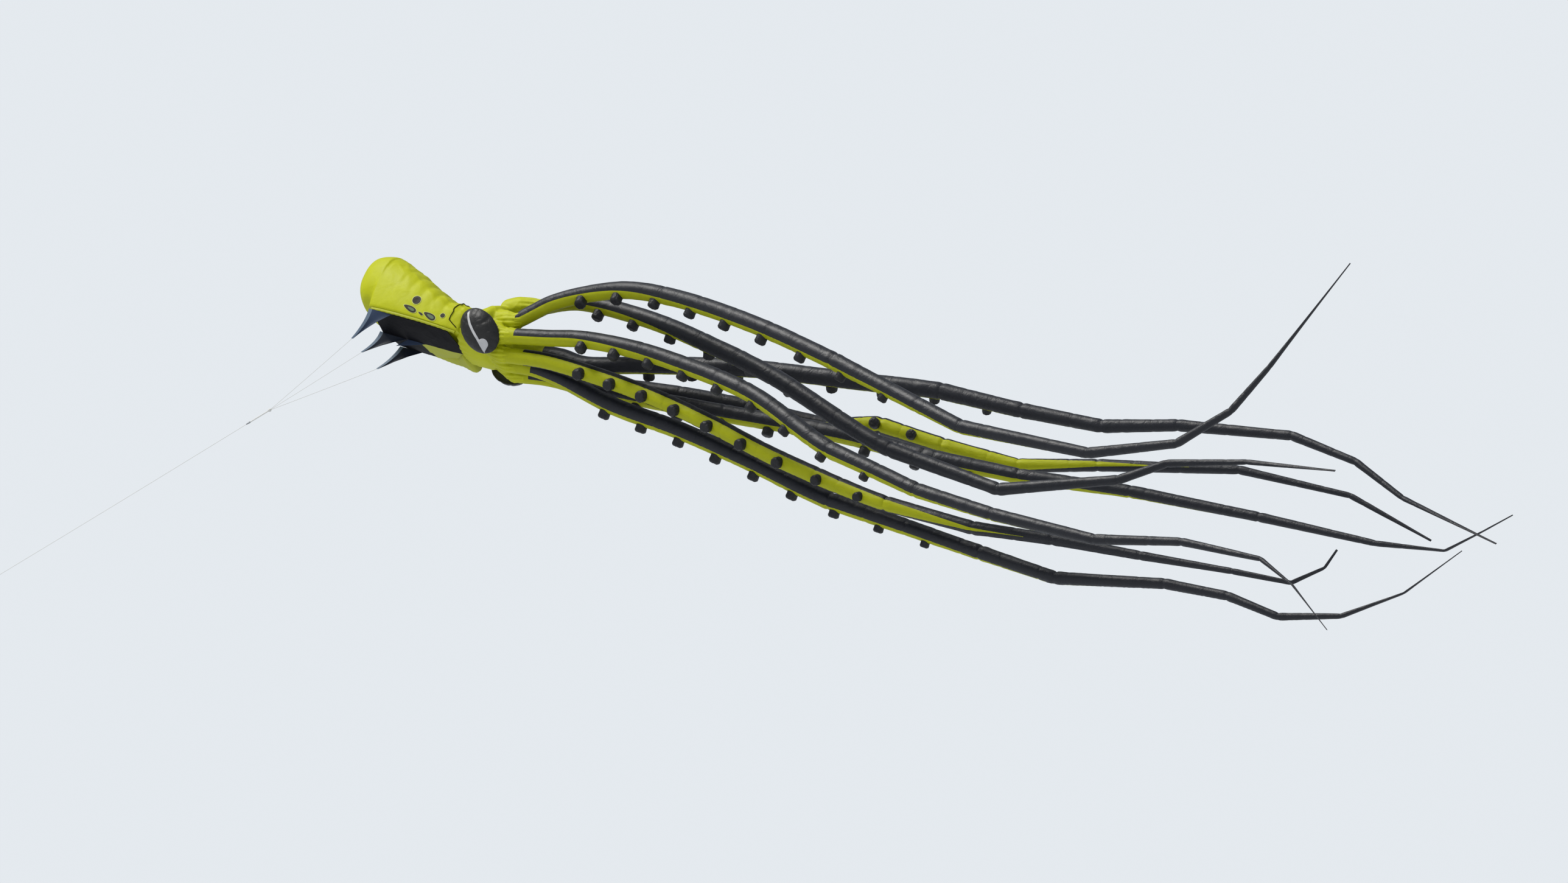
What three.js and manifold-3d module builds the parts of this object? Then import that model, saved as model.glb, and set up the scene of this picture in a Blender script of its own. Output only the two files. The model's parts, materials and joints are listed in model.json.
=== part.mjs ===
// An inflatable octopus show kite: a soft balloon mantle over a keeled belly, a head with
// padded eyes, and eight long inflated arms that stream out behind it.
//
// Millimetres, +X downwind to the arm tips, +Y starboard, +Z up. The origin is the tow point,
// where the bridle lines meet; the whole kite is pitched nose-up about the Y axis.
import * as THREE from 'three';
import { mergeVertices } from 'three/addons/utils/BufferGeometryUtils.js';
import Module from 'manifold-3d';

const wasm = await Module();
wasm.setup();

// ---------------------------------------------------------------- driving dimensions
const GAP = 0.3;                    // seam clearance between pieces that touch
const PITCH = 27 * Math.PI / 180;   // nose-up pitch of the body
const BODY_AT = [1430, 0, 825];     // front of the belly, seen from the tow point
const WALL = 5;                     // modelled thickness of an inflated skin

const MANTLE_SIDES = 20;
const MANTLE_SQUARENESS = 2.7;      // superellipse exponent of the cross-sections
// along the chord: place, half width, lowest and highest point of the section
const MANTLE = [
  { x: -405, half: 170, low: 310, high: 515 },
  { x: -370, half: 285, low: 215, high: 610 },
  { x: -295, half: 385, low: 115, high: 698 },
  { x: -195, half: 450, low: 35, high: 742 },
  { x: -55, half: 485, low: 0, high: 768 },
  { x: 0, half: 495, low: -220, high: 762 },
  { x: 150, half: 508, low: -250, high: 712 },
  { x: 400, half: 515, low: -250, high: 612 },
  { x: 700, half: 503, low: -230, high: 488 },
  { x: 950, half: 475, low: -210, high: 408 },
  { x: 1190, half: 430, low: -180, high: 378 },
];
const NECK_X = MANTLE[MANTLE.length - 1].x;

const BELLY_FRONT = 30;
const BELLY_EDGE_REAR = 1085;       // where the panel's straight edges end
const BELLY_TAIL = 70;              // how much further it runs between its cut corners
const BELLY_STEPS = 8;
const BELLY_RIDGE = 62;             // depth of the centre ridge below the panel's edges
const BELLY_THICK = 8;
const STRIP_DROP = 30;              // height of the side strips under the mantle seam
const STRIP_THICK = 24;
const INTAKE_FRONT = -50;
const INTAKE_HALF = 330;
const INTAKE_THICK = 6;

const PIPING = 14;                  // length of the piped band around the neck
const BULKHEAD_X = 1800;
const BULKHEAD_THICK = 8;
const HEAD_SIDES = 20;
const HEAD_SQUARENESS = 2.3;
const HEAD = [
  { x: NECK_X + PIPING + 2 * GAP, half: 428, low: -120, high: 385 },
  { x: 1340, half: 470, low: -175, high: 470 },
  { x: 1500, half: 510, low: -220, high: 580 },
  { x: 1660, half: 525, low: -235, high: 700 },
  { x: BULKHEAD_X, half: 520, low: -215, high: 790 },
];

const KEEL_THICK = 6;
const KEEL_RIBBON = 46;             // width of the band along a keel's leading edge
const SIDE_KEEL = { y: 470, front: 12, rear: 330, tip: [-85, -420] };
const SIDE_KEEL_CANT = 14 * Math.PI / 180;  // the side keels' tips lean inwards
const CENTRE_KEEL = { front: -20, rear: 385, tip: [-130, -400] };
const GUSSET_REAR = 645;
const GUSSET_DROP = 120;            // how far the gusset hangs below the belly's ridge
const BOW = 0.16;                   // how far a keel's edges are hollowed, as a share

const EYE = { x: 1530, z: 45, long: 290, high: 215, thick: 120 };
const EYE_TILT = 32 * Math.PI / 180;   // the pad's long axis falls towards the arms
const EYE_TUCK = 20 * Math.PI / 180;   // its lower edge is tucked in under the head

const LINE_ELEVATION = 23.5 * Math.PI / 180;
const BRIDLE_RADIUS = 2.5;
const KNOT_RADIUS = 20;
const SLEEVE_RADIUS = 8;
const SLEEVE_LENGTH = 240;
const SWIVEL_RADIUS = 10;
const SWIVEL_LENGTH = 34;
const SWIVEL_EYE_LENGTH = 22;
const FLYING_LINE_RADIUS = 3;
const FLYING_LINE_END = 3800;       // distance of its far end from the tow point
const LOOP_LENGTH = 130;
const LOOP_WIDTH = 56;

const ARM_SIDES = 8;
const ARM_STEPS = 6;                // rings in one length of arm
const SOCKET_RADIUS = 92;
const SOCKET_LENGTH = 150;
const SOCKET_STEPS = 2;
// radius of an arm at fractions of its length
const ARM_TAPER = [[0, SOCKET_RADIUS], [0.12, 104], [0.38, 102], [0.58, 78], [0.75, 56], [0.9, 30], [1, 9]];
const BENDS_AT = [0.36, 0.68];      // fractions of the length where an arm bends again
const FOLD = [7, 9, 12].map((degrees) => degrees * Math.PI / 180);  // cut-back at each bend
const TIP_SOLID = 0.82;             // the hollow of an arm stops at this fraction

// ring: where the arm leaves the rear bulkhead, in the body's own axes (y, z)
// course: the arm's centre line from there, streaming in the wind, in the kite's axes
const ARMS = [
  { name: 'port_upper_arm', ring: [-335, 330], course: [
    [250, -20, 70], [480, -60, 110], [850, -100, 110], [1440, -200, 0], [2010, -260, -240],
    [3160, -520, -1000], [4210, -680, -1800], [5860, -920, -3150], [7510, -1160, -3980],
    [8660, -1340, -4200], [9360, -1440, -3980], [9860, -1520, -3560], [10910, -1660, -2500]] },
  { name: 'top_arm', ring: [-40, 683], course: [
    [460, -20, -40], [810, -40, -180], [1520, -70, -570], [2150, -110, -1010],
    [2950, -140, -1620], [4450, -230, -2970], [5800, -300, -3820], [7300, -380, -4060],
    [7900, -410, -3990], [8900, -470, -4220], [10000, -540, -4610]] },
  { name: 'port_side_arm', ring: [-400, 110], course: [
    [540, -20, -160], [950, -50, -280], [1520, -90, -530], [2080, -130, -840],
    [3160, -260, -1600], [4160, -350, -2600], [5260, -450, -3420], [6210, -530, -3980],
    [7510, -660, -4660], [8610, -760, -4980], [9610, -850, -5470], [10010, -900, -5920],
    [10460, -1000, -6650]] },
  { name: 'port_lower_arm', ring: [-245, -60], course: [
    [530, 0, -200], [930, 20, -400], [1780, 70, -890], [2530, 110, -1410], [3280, 150, -1980],
    [4630, 230, -2850], [5680, 270, -3370], [6630, 320, -3700], [7680, 370, -4110],
    [8780, 430, -4520], [9480, 470, -4800], [9880, 490, -4680], [10030, 500, -4470]] },
  { name: 'bottom_arm', ring: [-20, -70], course: [
    [280, 10, -110], [600, 30, -300], [1240, 70, -780], [2040, 150, -1240], [2890, 210, -1810],
    [3840, 270, -2490], [5640, 380, -3500], [6540, 430, -4000], [7840, 510, -4310],
    [8590, 550, -4610], [9190, 590, -4990], [9940, 630, -5120], [10690, 670, -4960],
    [11390, 700, -4540]] },
  { name: 'starboard_upper_arm', ring: [300, 280], course: [
    [350, 0, -150], [600, 20, -290], [1430, 100, -440], [2530, 190, -670], [3930, 310, -1090],
    [4880, 390, -1380], [5830, 480, -1790], [6780, 560, -2160], [7680, 640, -2300],
    [9030, 750, -2670], [9780, 810, -3140], [10330, 860, -3710], [11430, 950, -4500]] },
  { name: 'starboard_side_arm', ring: [375, 60], course: [
    [300, 130, -80], [600, 230, -160], [1770, 420, -490], [2570, 550, -770], [3420, 730, -1080],
    [4020, 840, -1150], [4720, 1000, -1480], [5570, 1180, -1830], [6470, 1380, -1910],
    [8070, 1730, -2130], [9320, 2010, -2590], [10220, 2230, -3260]] },
  { name: 'starboard_lower_arm', ring: [205, -85], course: [
    [380, 60, -100], [690, 130, -220], [2140, 340, -740], [3840, 580, -1330],
    [4740, 700, -1730], [5840, 860, -2140], [7140, 1040, -2530], [8640, 1230, -3090],
    [9990, 1410, -3630], [10790, 1520, -3840], [11240, 1560, -3660], [11590, 1600, -3500]] },
];

// ---------------------------------------------------------------- finishes
const cloth = (color) => new THREE.MeshStandardMaterial({ color, roughness: 0.55, metalness: 0 });
const YELLOW = () => cloth(0xe2ea2c);
const YELLOW_SHADE = () => cloth(0xa8ac26);
const BLACK = () => cloth(0x1b1c20);
const NAVY = () => cloth(0x20242f);
const RIBBON = () => cloth(0x8d949c);
const CORD = () => cloth(0xe9e9e4);
const STEEL = () => new THREE.MeshStandardMaterial({ color: 0x54575c, roughness: 0.35, metalness: 0.9 });

// ---------------------------------------------------------------- solids
function toSolid(geometry) {
  const bare = geometry.clone();
  bare.deleteAttribute('normal');
  bare.deleteAttribute('uv');
  const merged = mergeVertices(bare);
  return new wasm.Manifold(new wasm.Mesh({
    numProp: 3,
    vertProperties: merged.attributes.position.array,
    triVerts: new Uint32Array(merged.index.array),
  }));
}

function toGeometry(solid) {
  const mesh = solid.getMesh();
  const geometry = new THREE.BufferGeometry();
  geometry.setAttribute('position', new THREE.BufferAttribute(mesh.vertProperties, 3));
  geometry.setIndex(new THREE.BufferAttribute(mesh.triVerts, 1));
  return geometry;
}

// A cylinder whose every point is put at place(t, side, up): t runs along it from 0 to 1,
// and side and up are the point's place in the unit circle.
function shapedTube(sides, steps, place) {
  const geometry = new THREE.CylinderGeometry(1, 1, 1, sides, steps);
  const position = geometry.attributes.position;
  for (let i = 0; i < position.count; i++) {
    const p = place(position.getY(i) + 0.5, position.getZ(i), position.getX(i));
    position.setXYZ(i, p.x, p.y, p.z);
  }
  return geometry;
}

// A box whose every point is put at place(u, v, w), each running from 0 to 1.
function shapedBox(steps, place) {
  const geometry = new THREE.BoxGeometry(1, 1, 1, steps[0], steps[1], steps[2]);
  const position = geometry.attributes.position;
  for (let i = 0; i < position.count; i++) {
    const p = place(position.getX(i) + 0.5, position.getY(i) + 0.5, position.getZ(i) + 0.5);
    position.setXYZ(i, p.x, p.y, p.z);
  }
  return geometry;
}

// ---------------------------------------------------------------- body sections
function sectionAt(stations, x) {
  let i = 0;
  while (i < stations.length - 2 && stations[i + 1].x < x) i++;
  const [a, b] = [stations[i], stations[i + 1]];
  const t = (x - a.x) / (b.x - a.x);
  const mix = (key) => a[key] + (b[key] - a[key]) * t;
  return { x, half: mix('half'), low: mix('low'), high: mix('high') };
}

function bulged(value, squareness) {
  return Math.sign(value) * Math.abs(value) ** (2 / squareness);
}

// The balloon skin through the stations, made smaller all round by inset, with its ends
// moved out by reach and everything below floor flattened onto it.
function balloon(stations, sides, squareness, { inset = 0, reachFront = 0, reachRear = 0, floor }) {
  const steps = stations.length - 1;
  return shapedTube(sides, steps, (t, side, up) => {
    const i = Math.round(t * steps);
    const s = stations[i];
    const middle = (s.low + s.high) / 2;
    const length = Math.hypot(side, up);
    const rim = length > 0.5;
    const y = rim ? bulged(side / length, squareness) * (s.half - inset) : 0;
    const z = rim ? bulged(up / length, squareness) * ((s.high - s.low) / 2 - inset) : 0;
    const reach = (i === 0 ? -reachFront : 0) + (i === steps ? reachRear : 0);
    const height = floor === undefined ? middle + z : Math.max(middle + z, floor);
    return new THREE.Vector3(s.x + reach, y, height);
  });
}

// Half width of the mantle where its skin meets the belly seam.
function seamHalf(x) {
  const s = sectionAt(MANTLE, x);
  const tall = (s.high - s.low) / 2;
  const off = Math.abs((s.low + s.high) / 2) / tall;
  return s.half * (1 - off ** MANTLE_SQUARENESS) ** (1 / MANTLE_SQUARENESS);
}

function mantleShell() {
  const outer = balloon(MANTLE, MANTLE_SIDES, MANTLE_SQUARENESS, { floor: 0 });
  const inner = balloon(MANTLE, MANTLE_SIDES, MANTLE_SQUARENESS, {
    inset: WALL, reachFront: -WALL, reachRear: 4 * WALL, floor: -4 * WALL,
  });
  return toGeometry(toSolid(outer).subtract(toSolid(inner)));
}

function headShell() {
  const outer = balloon(HEAD, HEAD_SIDES, HEAD_SQUARENESS, {});
  const inner = balloon(HEAD, HEAD_SIDES, HEAD_SQUARENESS, {
    inset: WALL, reachFront: 4 * WALL, reachRear: 4 * WALL,
  });
  return toGeometry(toSolid(outer).subtract(toSolid(inner)));
}

// The piped band between mantle and head: a short open ring with the head's own section.
function neckPiping() {
  const ends = [NECK_X + GAP, NECK_X + GAP + PIPING].map((x) => ({ ...HEAD[0], x }));
  const outer = balloon(ends, HEAD_SIDES, HEAD_SQUARENESS, {});
  const inner = balloon(ends, HEAD_SIDES, HEAD_SQUARENESS, {
    inset: 2 * WALL, reachFront: PIPING, reachRear: PIPING,
  });
  return toGeometry(toSolid(outer).subtract(toSolid(inner)));
}

// The underside of the belly, from its straight edges down to the centre ridge.
function bellyUnderside(side) {
  return -STRIP_DROP - BELLY_RIDGE * (1 - Math.abs(side));
}

// Places along the belly's edge, shared by the panel and the strips that it is sewn to.
function edgeX(step) {
  return BELLY_FRONT + (BELLY_EDGE_REAR - BELLY_FRONT) * step / BELLY_STEPS;
}

function bellyPanel() {
  return shapedBox([BELLY_STEPS, 6, 1], (u, v, w) => {
    const side = 2 * v - 1;
    const edge = edgeX(u * BELLY_STEPS);
    const further = BELLY_TAIL * Math.min(1, 1.6 * (1 - Math.abs(side)));
    const y = side * (seamHalf(edge) - STRIP_THICK - GAP);
    return new THREE.Vector3(edge + further * u, y, bellyUnderside(side) + w * BELLY_THICK);
  });
}

function sideStrip(side) {
  const steps = BELLY_STEPS + 1;
  return shapedBox([steps, 1, 1], (u, v, w) => {
    const step = Math.round(u * steps);
    const x = step < steps ? edgeX(step) : NECK_X - PIPING;
    const inward = side > 0 ? 1 - v : v;
    const y = side * (seamHalf(x) - STRIP_THICK * inward);
    return new THREE.Vector3(x, y, -GAP - STRIP_DROP * (1 - w));
  });
}

function intakeMesh() {
  return shapedBox([1, 4, 1], (u, v, w) => new THREE.Vector3(
    INTAKE_FRONT + (BELLY_FRONT - 2 * GAP - INTAKE_FRONT) * u,
    INTAKE_HALF * (2 * v - 1),
    -GAP - INTAKE_THICK * (1 - w),
  ));
}

// ---------------------------------------------------------------- keels
// A keel drawn in the upright plane, leaned over about its root and set at y.
function keelPlate(shape, root, { y = 0, cant = 0 } = {}) {
  const geometry = new THREE.ExtrudeGeometry(shape, {
    depth: KEEL_THICK, bevelEnabled: false, curveSegments: 6,
  });
  geometry.rotateX(Math.PI / 2);
  geometry.translate(0, KEEL_THICK / 2, -root);
  geometry.rotateX(cant);
  geometry.translate(0, y, root);
  return geometry;
}

// A point between two others, drawn towards a third by the bow.
function bowed(a, b, towards) {
  const middle = [(a[0] + b[0]) / 2, (a[1] + b[1]) / 2];
  return [middle[0] + BOW * (towards[0] - middle[0]), middle[1] + BOW * (towards[1] - middle[1])];
}

function keelShapes({ front, rear, tip, root }) {
  const [a, b] = [[front, root], [rear, root]];
  const lead = bowed(a, tip, b);
  const trail = bowed(tip, b, a);
  const band = KEEL_RIBBON;
  const seam = KEEL_RIBBON + 2 * GAP;
  const ribbon = new THREE.Shape();
  ribbon.moveTo(...a);
  ribbon.quadraticCurveTo(...lead, ...tip);
  ribbon.lineTo(tip[0] + band / 2, tip[1]);
  ribbon.quadraticCurveTo(lead[0] + band, lead[1], a[0] + band, a[1]);
  const web = new THREE.Shape();
  web.moveTo(a[0] + seam, a[1]);
  web.quadraticCurveTo(lead[0] + seam, lead[1], tip[0] + seam / 2 + GAP, tip[1]);
  web.quadraticCurveTo(...trail, ...b);
  return { ribbon, web };
}

const SIDE_ROOT = -STRIP_DROP - 2 * GAP - KEEL_THICK / 2 * Math.sin(SIDE_KEEL_CANT);
const CENTRE_ROOT = bellyUnderside(0) - GAP;

// The pale gusset that carries the centre keel on behind its dark web.
function gussetShape() {
  const { rear } = CENTRE_KEEL;
  const shape = new THREE.Shape();
  shape.moveTo(rear + 2 * GAP, CENTRE_ROOT);
  shape.lineTo(rear - GUSSET_DROP, CENTRE_ROOT - GUSSET_DROP);
  shape.lineTo(GUSSET_REAR, CENTRE_ROOT);
  return shape;
}

// ---------------------------------------------------------------- eyes
function eyePad(side) {
  const dome = new THREE.SphereGeometry(1, 16, 10);
  dome.scale(EYE.long, EYE.thick, EYE.high);
  dome.rotateY(EYE_TILT);
  dome.rotateX(-side * EYE_TUCK);
  const seat = sectionAt(HEAD, EYE.x);
  dome.translate(EYE.x, side * (seat.half - 30), EYE.z);
  const head = balloon(HEAD, HEAD_SIDES, HEAD_SQUARENESS, { inset: -GAP, reachRear: 400 });
  return toGeometry(toSolid(dome).subtract(toSolid(head)));
}

// ---------------------------------------------------------------- bulkhead and arms
function bulkheadShape() {
  const rear = HEAD[HEAD.length - 1];
  const middle = (rear.low + rear.high) / 2;
  const tall = (rear.high - rear.low) / 2;
  const outline = [];
  for (let i = 0; i < 2 * HEAD_SIDES; i++) {
    const angle = Math.PI * i / HEAD_SIDES;
    outline.push(new THREE.Vector2(
      bulged(Math.cos(angle), HEAD_SQUARENESS) * rear.half,
      middle + bulged(Math.sin(angle), HEAD_SQUARENESS) * tall,
    ));
  }
  const shape = new THREE.Shape(outline);
  for (const arm of ARMS) {
    const port = new THREE.Path();
    port.absarc(arm.ring[0], arm.ring[1], SOCKET_RADIUS - 3 * WALL, 0, 2 * Math.PI, true);
    shape.holes.push(port);
  }
  return shape;
}

function bulkhead() {
  const geometry = new THREE.ExtrudeGeometry(bulkheadShape(), {
    depth: BULKHEAD_THICK, bevelEnabled: false, curveSegments: 4,
  });
  geometry.rotateX(Math.PI / 2);
  geometry.rotateZ(Math.PI / 2);
  geometry.translate(BULKHEAD_X + GAP, 0, 0);
  return geometry;
}

const body = new THREE.Group();
body.position.set(...BODY_AT);
body.rotation.y = PITCH;
body.updateMatrixWorld();

function fromBody(x, y, z) {
  return new THREE.Vector3(x, y, z).applyMatrix4(body.matrixWorld);
}

const SOCKET_FRONT = BULKHEAD_X + BULKHEAD_THICK + 2 * GAP;

function taperAt(u) {
  let i = 0;
  while (i < ARM_TAPER.length - 2 && ARM_TAPER[i + 1][0] < u) i++;
  const [[u0, r0], [u1, r1]] = [ARM_TAPER[i], ARM_TAPER[i + 1]];
  return r0 + (r1 - r0) * (u - u0) / (u1 - u0);
}

function armCourse(arm) {
  const root = fromBody(SOCKET_FRONT, ...arm.ring);
  const rest = arm.course.map((p) => root.clone().add(new THREE.Vector3(...p)));
  const curve = new THREE.CatmullRomCurve3([root, ...rest], false, 'centripetal');
  curve.arcLengthDivisions = 400;
  return curve;
}

// Fractions of the length where one length of arm ends and the next begins.
function armEnds(curve) {
  return [SOCKET_LENGTH / curve.getLength(), ...BENDS_AT, 1];
}

// The arm's own axes at a fraction of its length: along it, to starboard and up. Within the
// socket they turn from the body's own, so that the socket lies flat on the bulkhead.
function armFrame(curve, u) {
  const along = curve.getTangentAt(u);
  const settled = Math.min(1, u * curve.getLength() / SOCKET_LENGTH);
  along.lerp(new THREE.Vector3().setFromMatrixColumn(body.matrixWorld, 0), 1 - settled);
  along.normalize();
  const side = new THREE.Vector3(0, 1, 0);
  side.addScaledVector(along, -side.dot(along)).normalize();
  const up = along.clone().cross(side);
  return { at: curve.getPointAt(u), along, side, up };
}

// One length of arm from u0 to u1. At an end that bends, the skin is cut back above and
// below the hinge line by the fold angle. reach runs each end past its place.
function armTube(curve, { span: [u0, u1], folds, radius, reach = [0, 0], steps = ARM_STEPS }) {
  return shapedTube(ARM_SIDES, steps, (t, side, up) => {
    const u = u0 + (u1 - u0) * t;
    const f = armFrame(curve, u);
    const r = radius(u);
    const [first, last] = [t < 0.01, t > 0.99];
    const fold = (first ? Math.tan(folds[0]) : 0) - (last ? Math.tan(folds[1]) : 0);
    const beyond = (first ? GAP / 2 - reach[0] : 0) - (last ? GAP / 2 - reach[1] : 0);
    return f.at.clone()
      .addScaledVector(f.side, r * side)
      .addScaledVector(f.up, r * up)
      .addScaledVector(f.along, fold * Math.abs(r * up) + beyond);
  });
}

function hollowed(curve, outer, inner) {
  return toGeometry(toSolid(armTube(curve, outer)).subtract(toSolid(armTube(curve, inner))));
}

function armLength(curve, index) {
  const ends = armEnds(curve);
  const last = index === ends.length - 2;
  const [u0, u1] = [ends[index], ends[index + 1]];
  const folds = [FOLD[index], last ? 0 : FOLD[index + 1]];
  const bore = (u) => taperAt(u) - WALL;
  const through = 2 * WALL;
  return hollowed(curve, { span: [u0, u1], folds, radius: taperAt }, {
    span: [u0, last ? TIP_SOLID : u1], folds: [folds[0], last ? 0 : folds[1]],
    radius: bore, reach: [through, last ? 0 : through],
  });
}

// The yellow socket that joins an arm to the bulkhead.
function armSocket(curve) {
  const shared = { span: [0, armEnds(curve)[0]], folds: [0, FOLD[0]], steps: SOCKET_STEPS };
  return hollowed(curve, { ...shared, radius: () => SOCKET_RADIUS }, {
    ...shared, radius: () => SOCKET_RADIUS - WALL, reach: [2 * WALL, 2 * WALL],
  });
}

// ---------------------------------------------------------------- lines
function straightCord(from, to, radius, shorten) {
  const along = to.clone().sub(from);
  const reach = along.length() - shorten[0] - shorten[1];
  const geometry = new THREE.CylinderGeometry(radius, radius, reach, 8);
  geometry.translate(0, shorten[0] + reach / 2, 0);
  const turn = new THREE.Quaternion().setFromUnitVectors(
    new THREE.Vector3(0, 1, 0), along.normalize());
  geometry.applyQuaternion(turn);
  geometry.translate(from.x, from.y, from.z);
  return geometry;
}

// A turned piece on the line: its profile runs outwards along the line from a distance.
function turned(profile) {
  const geometry = new THREE.LatheGeometry(profile.map((p) => new THREE.Vector2(...p)), 10);
  geometry.rotateZ(-Math.PI / 2);
  return geometry;
}

function barrel(from, length, radius, neck) {
  const cap = length * 0.18;
  return turned([
    [0, from], [neck, from], [radius, from + cap],
    [radius, from + length - cap], [neck, from + length], [0, from + length],
  ]);
}

// The knotted loop that ends the flying line.
function endLoop(from) {
  const loop = new THREE.TorusGeometry(0.5, FLYING_LINE_RADIUS / LOOP_WIDTH, 6, 20);
  loop.scale(LOOP_LENGTH, LOOP_WIDTH, LOOP_WIDTH);
  loop.translate(from + 2 * KNOT_RADIUS * 0.6 + LOOP_LENGTH / 2, 0, 0);
  const knot = new THREE.SphereGeometry(KNOT_RADIUS * 0.6, 8, 6);
  knot.rotateZ(-Math.PI / 2);
  knot.translate(from + KNOT_RADIUS * 0.6, 0, 0);
  return toGeometry(toSolid(loop).add(toSolid(knot)));
}

// ---------------------------------------------------------------- assembly
const kite = new THREE.Group();
kite.add(body);

function add(parent, name, geometry, material) {
  const mesh = new THREE.Mesh(geometry, material);
  mesh.name = name;
  parent.add(mesh);
  return mesh;
}

add(body, 'mantle', mantleShell(), YELLOW());
add(body, 'belly_panel', bellyPanel(), BLACK());
add(body, 'port_side_strip', sideStrip(-1), YELLOW_SHADE());
add(body, 'starboard_side_strip', sideStrip(1), YELLOW_SHADE());
add(body, 'intake_mesh', intakeMesh(), BLACK());
add(body, 'neck_piping', neckPiping(), BLACK());
add(body, 'head', headShell(), YELLOW());
add(body, 'rear_bulkhead', bulkhead(), YELLOW());
add(body, 'port_eye_pad', eyePad(-1), BLACK());
add(body, 'starboard_eye_pad', eyePad(1), BLACK());

for (const [name, side] of [['port', -1], ['starboard', 1]]) {
  const { ribbon, web } = keelShapes({ ...SIDE_KEEL, root: SIDE_ROOT });
  const lean = { y: side * SIDE_KEEL.y, cant: -side * SIDE_KEEL_CANT };
  add(body, `${name}_keel`, keelPlate(web, SIDE_ROOT, lean), NAVY());
  add(body, `${name}_keel_edge`, keelPlate(ribbon, SIDE_ROOT, lean), RIBBON());
}
const centre = keelShapes({ ...CENTRE_KEEL, root: CENTRE_ROOT });
add(body, 'centre_keel', keelPlate(centre.web, CENTRE_ROOT), NAVY());
add(body, 'centre_keel_edge', keelPlate(centre.ribbon, CENTRE_ROOT), RIBBON());
add(body, 'centre_keel_gusset', keelPlate(gussetShape(), CENTRE_ROOT), RIBBON());

const towPoint = new THREE.Vector3(0, 0, 0);
const tipPlace = ({ tip }, side) => {
  const hang = SIDE_ROOT - tip[1];
  return fromBody(tip[0] + KEEL_RIBBON / 4,
    side * (SIDE_KEEL.y - hang * Math.sin(SIDE_KEEL_CANT)),
    side ? SIDE_ROOT - hang * Math.cos(SIDE_KEEL_CANT) : tip[1]);
};
const keelTips = {
  port: tipPlace(SIDE_KEEL, -1),
  centre: tipPlace(CENTRE_KEEL, 0),
  starboard: tipPlace(SIDE_KEEL, 1),
};
for (const [name, tip] of Object.entries(keelTips)) {
  add(kite, `${name}_bridle_line`,
    straightCord(towPoint, tip, BRIDLE_RADIUS, [KNOT_RADIUS + GAP / 2, BRIDLE_RADIUS]), CORD());
}
add(kite, 'tow_knot', new THREE.SphereGeometry(KNOT_RADIUS, 14, 10), CORD());

const line = new THREE.Group();
line.rotation.y = Math.PI - LINE_ELEVATION;
kite.add(line);
const sleeveEnd = KNOT_RADIUS + GAP / 2 + SLEEVE_LENGTH;
const swivelEnd = sleeveEnd + GAP + SWIVEL_LENGTH;
const eyeEnd = swivelEnd + GAP + SWIVEL_EYE_LENGTH;
const knotEnd = FLYING_LINE_END + GAP;
add(line, 'tow_sleeve', turned([[0, KNOT_RADIUS + GAP / 2], [SLEEVE_RADIUS, KNOT_RADIUS + GAP / 2],
  [SLEEVE_RADIUS, sleeveEnd], [0, sleeveEnd]]), CORD());
add(line, 'swivel_barrel', barrel(sleeveEnd + GAP, SWIVEL_LENGTH, SWIVEL_RADIUS, 5), STEEL());
add(line, 'swivel_eye', barrel(swivelEnd + GAP, SWIVEL_EYE_LENGTH, 7, 5), STEEL());
add(line, 'flying_line', turned([[0, eyeEnd + GAP], [FLYING_LINE_RADIUS, eyeEnd + GAP],
  [FLYING_LINE_RADIUS, FLYING_LINE_END], [0, FLYING_LINE_END]]), CORD());
add(line, 'line_end_loop', endLoop(knotEnd), CORD());

for (const arm of ARMS) {
  const curve = armCourse(arm);
  add(kite, `${arm.name}_socket`, armSocket(curve), YELLOW());
  ['inner', 'middle', 'outer'].forEach((part, index) => {
    const mesh = add(kite, `${arm.name}_${part}`, armLength(curve, index), BLACK());
    // the hinge at its inner end, for whoever rigs the arm
    const hinge = armFrame(curve, armEnds(curve)[index]);
    mesh.userData = {
      hinge: hinge.at.toArray(),
      axis: hinge.side.toArray(),
      length: curve.getLength(),
    };
  });
}

export default kite;
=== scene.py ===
"""The looks of an inflatable octopus show kite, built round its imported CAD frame.

Metres, +X downwind, +Y starboard, +Z up, origin at the tow point. The body pieces are drawn in
the body's own axes, which are pitched nose-up, and are then laid into the kite's axes.
"""

from __future__ import annotations

import json
import logging
import math
import random
from dataclasses import dataclass, field
from enum import Enum
from typing import Callable, Sequence

import bpy
import numpy as np
from mathutils import Matrix, Vector, noise
from mathutils.bvhtree import BVHTree

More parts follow.
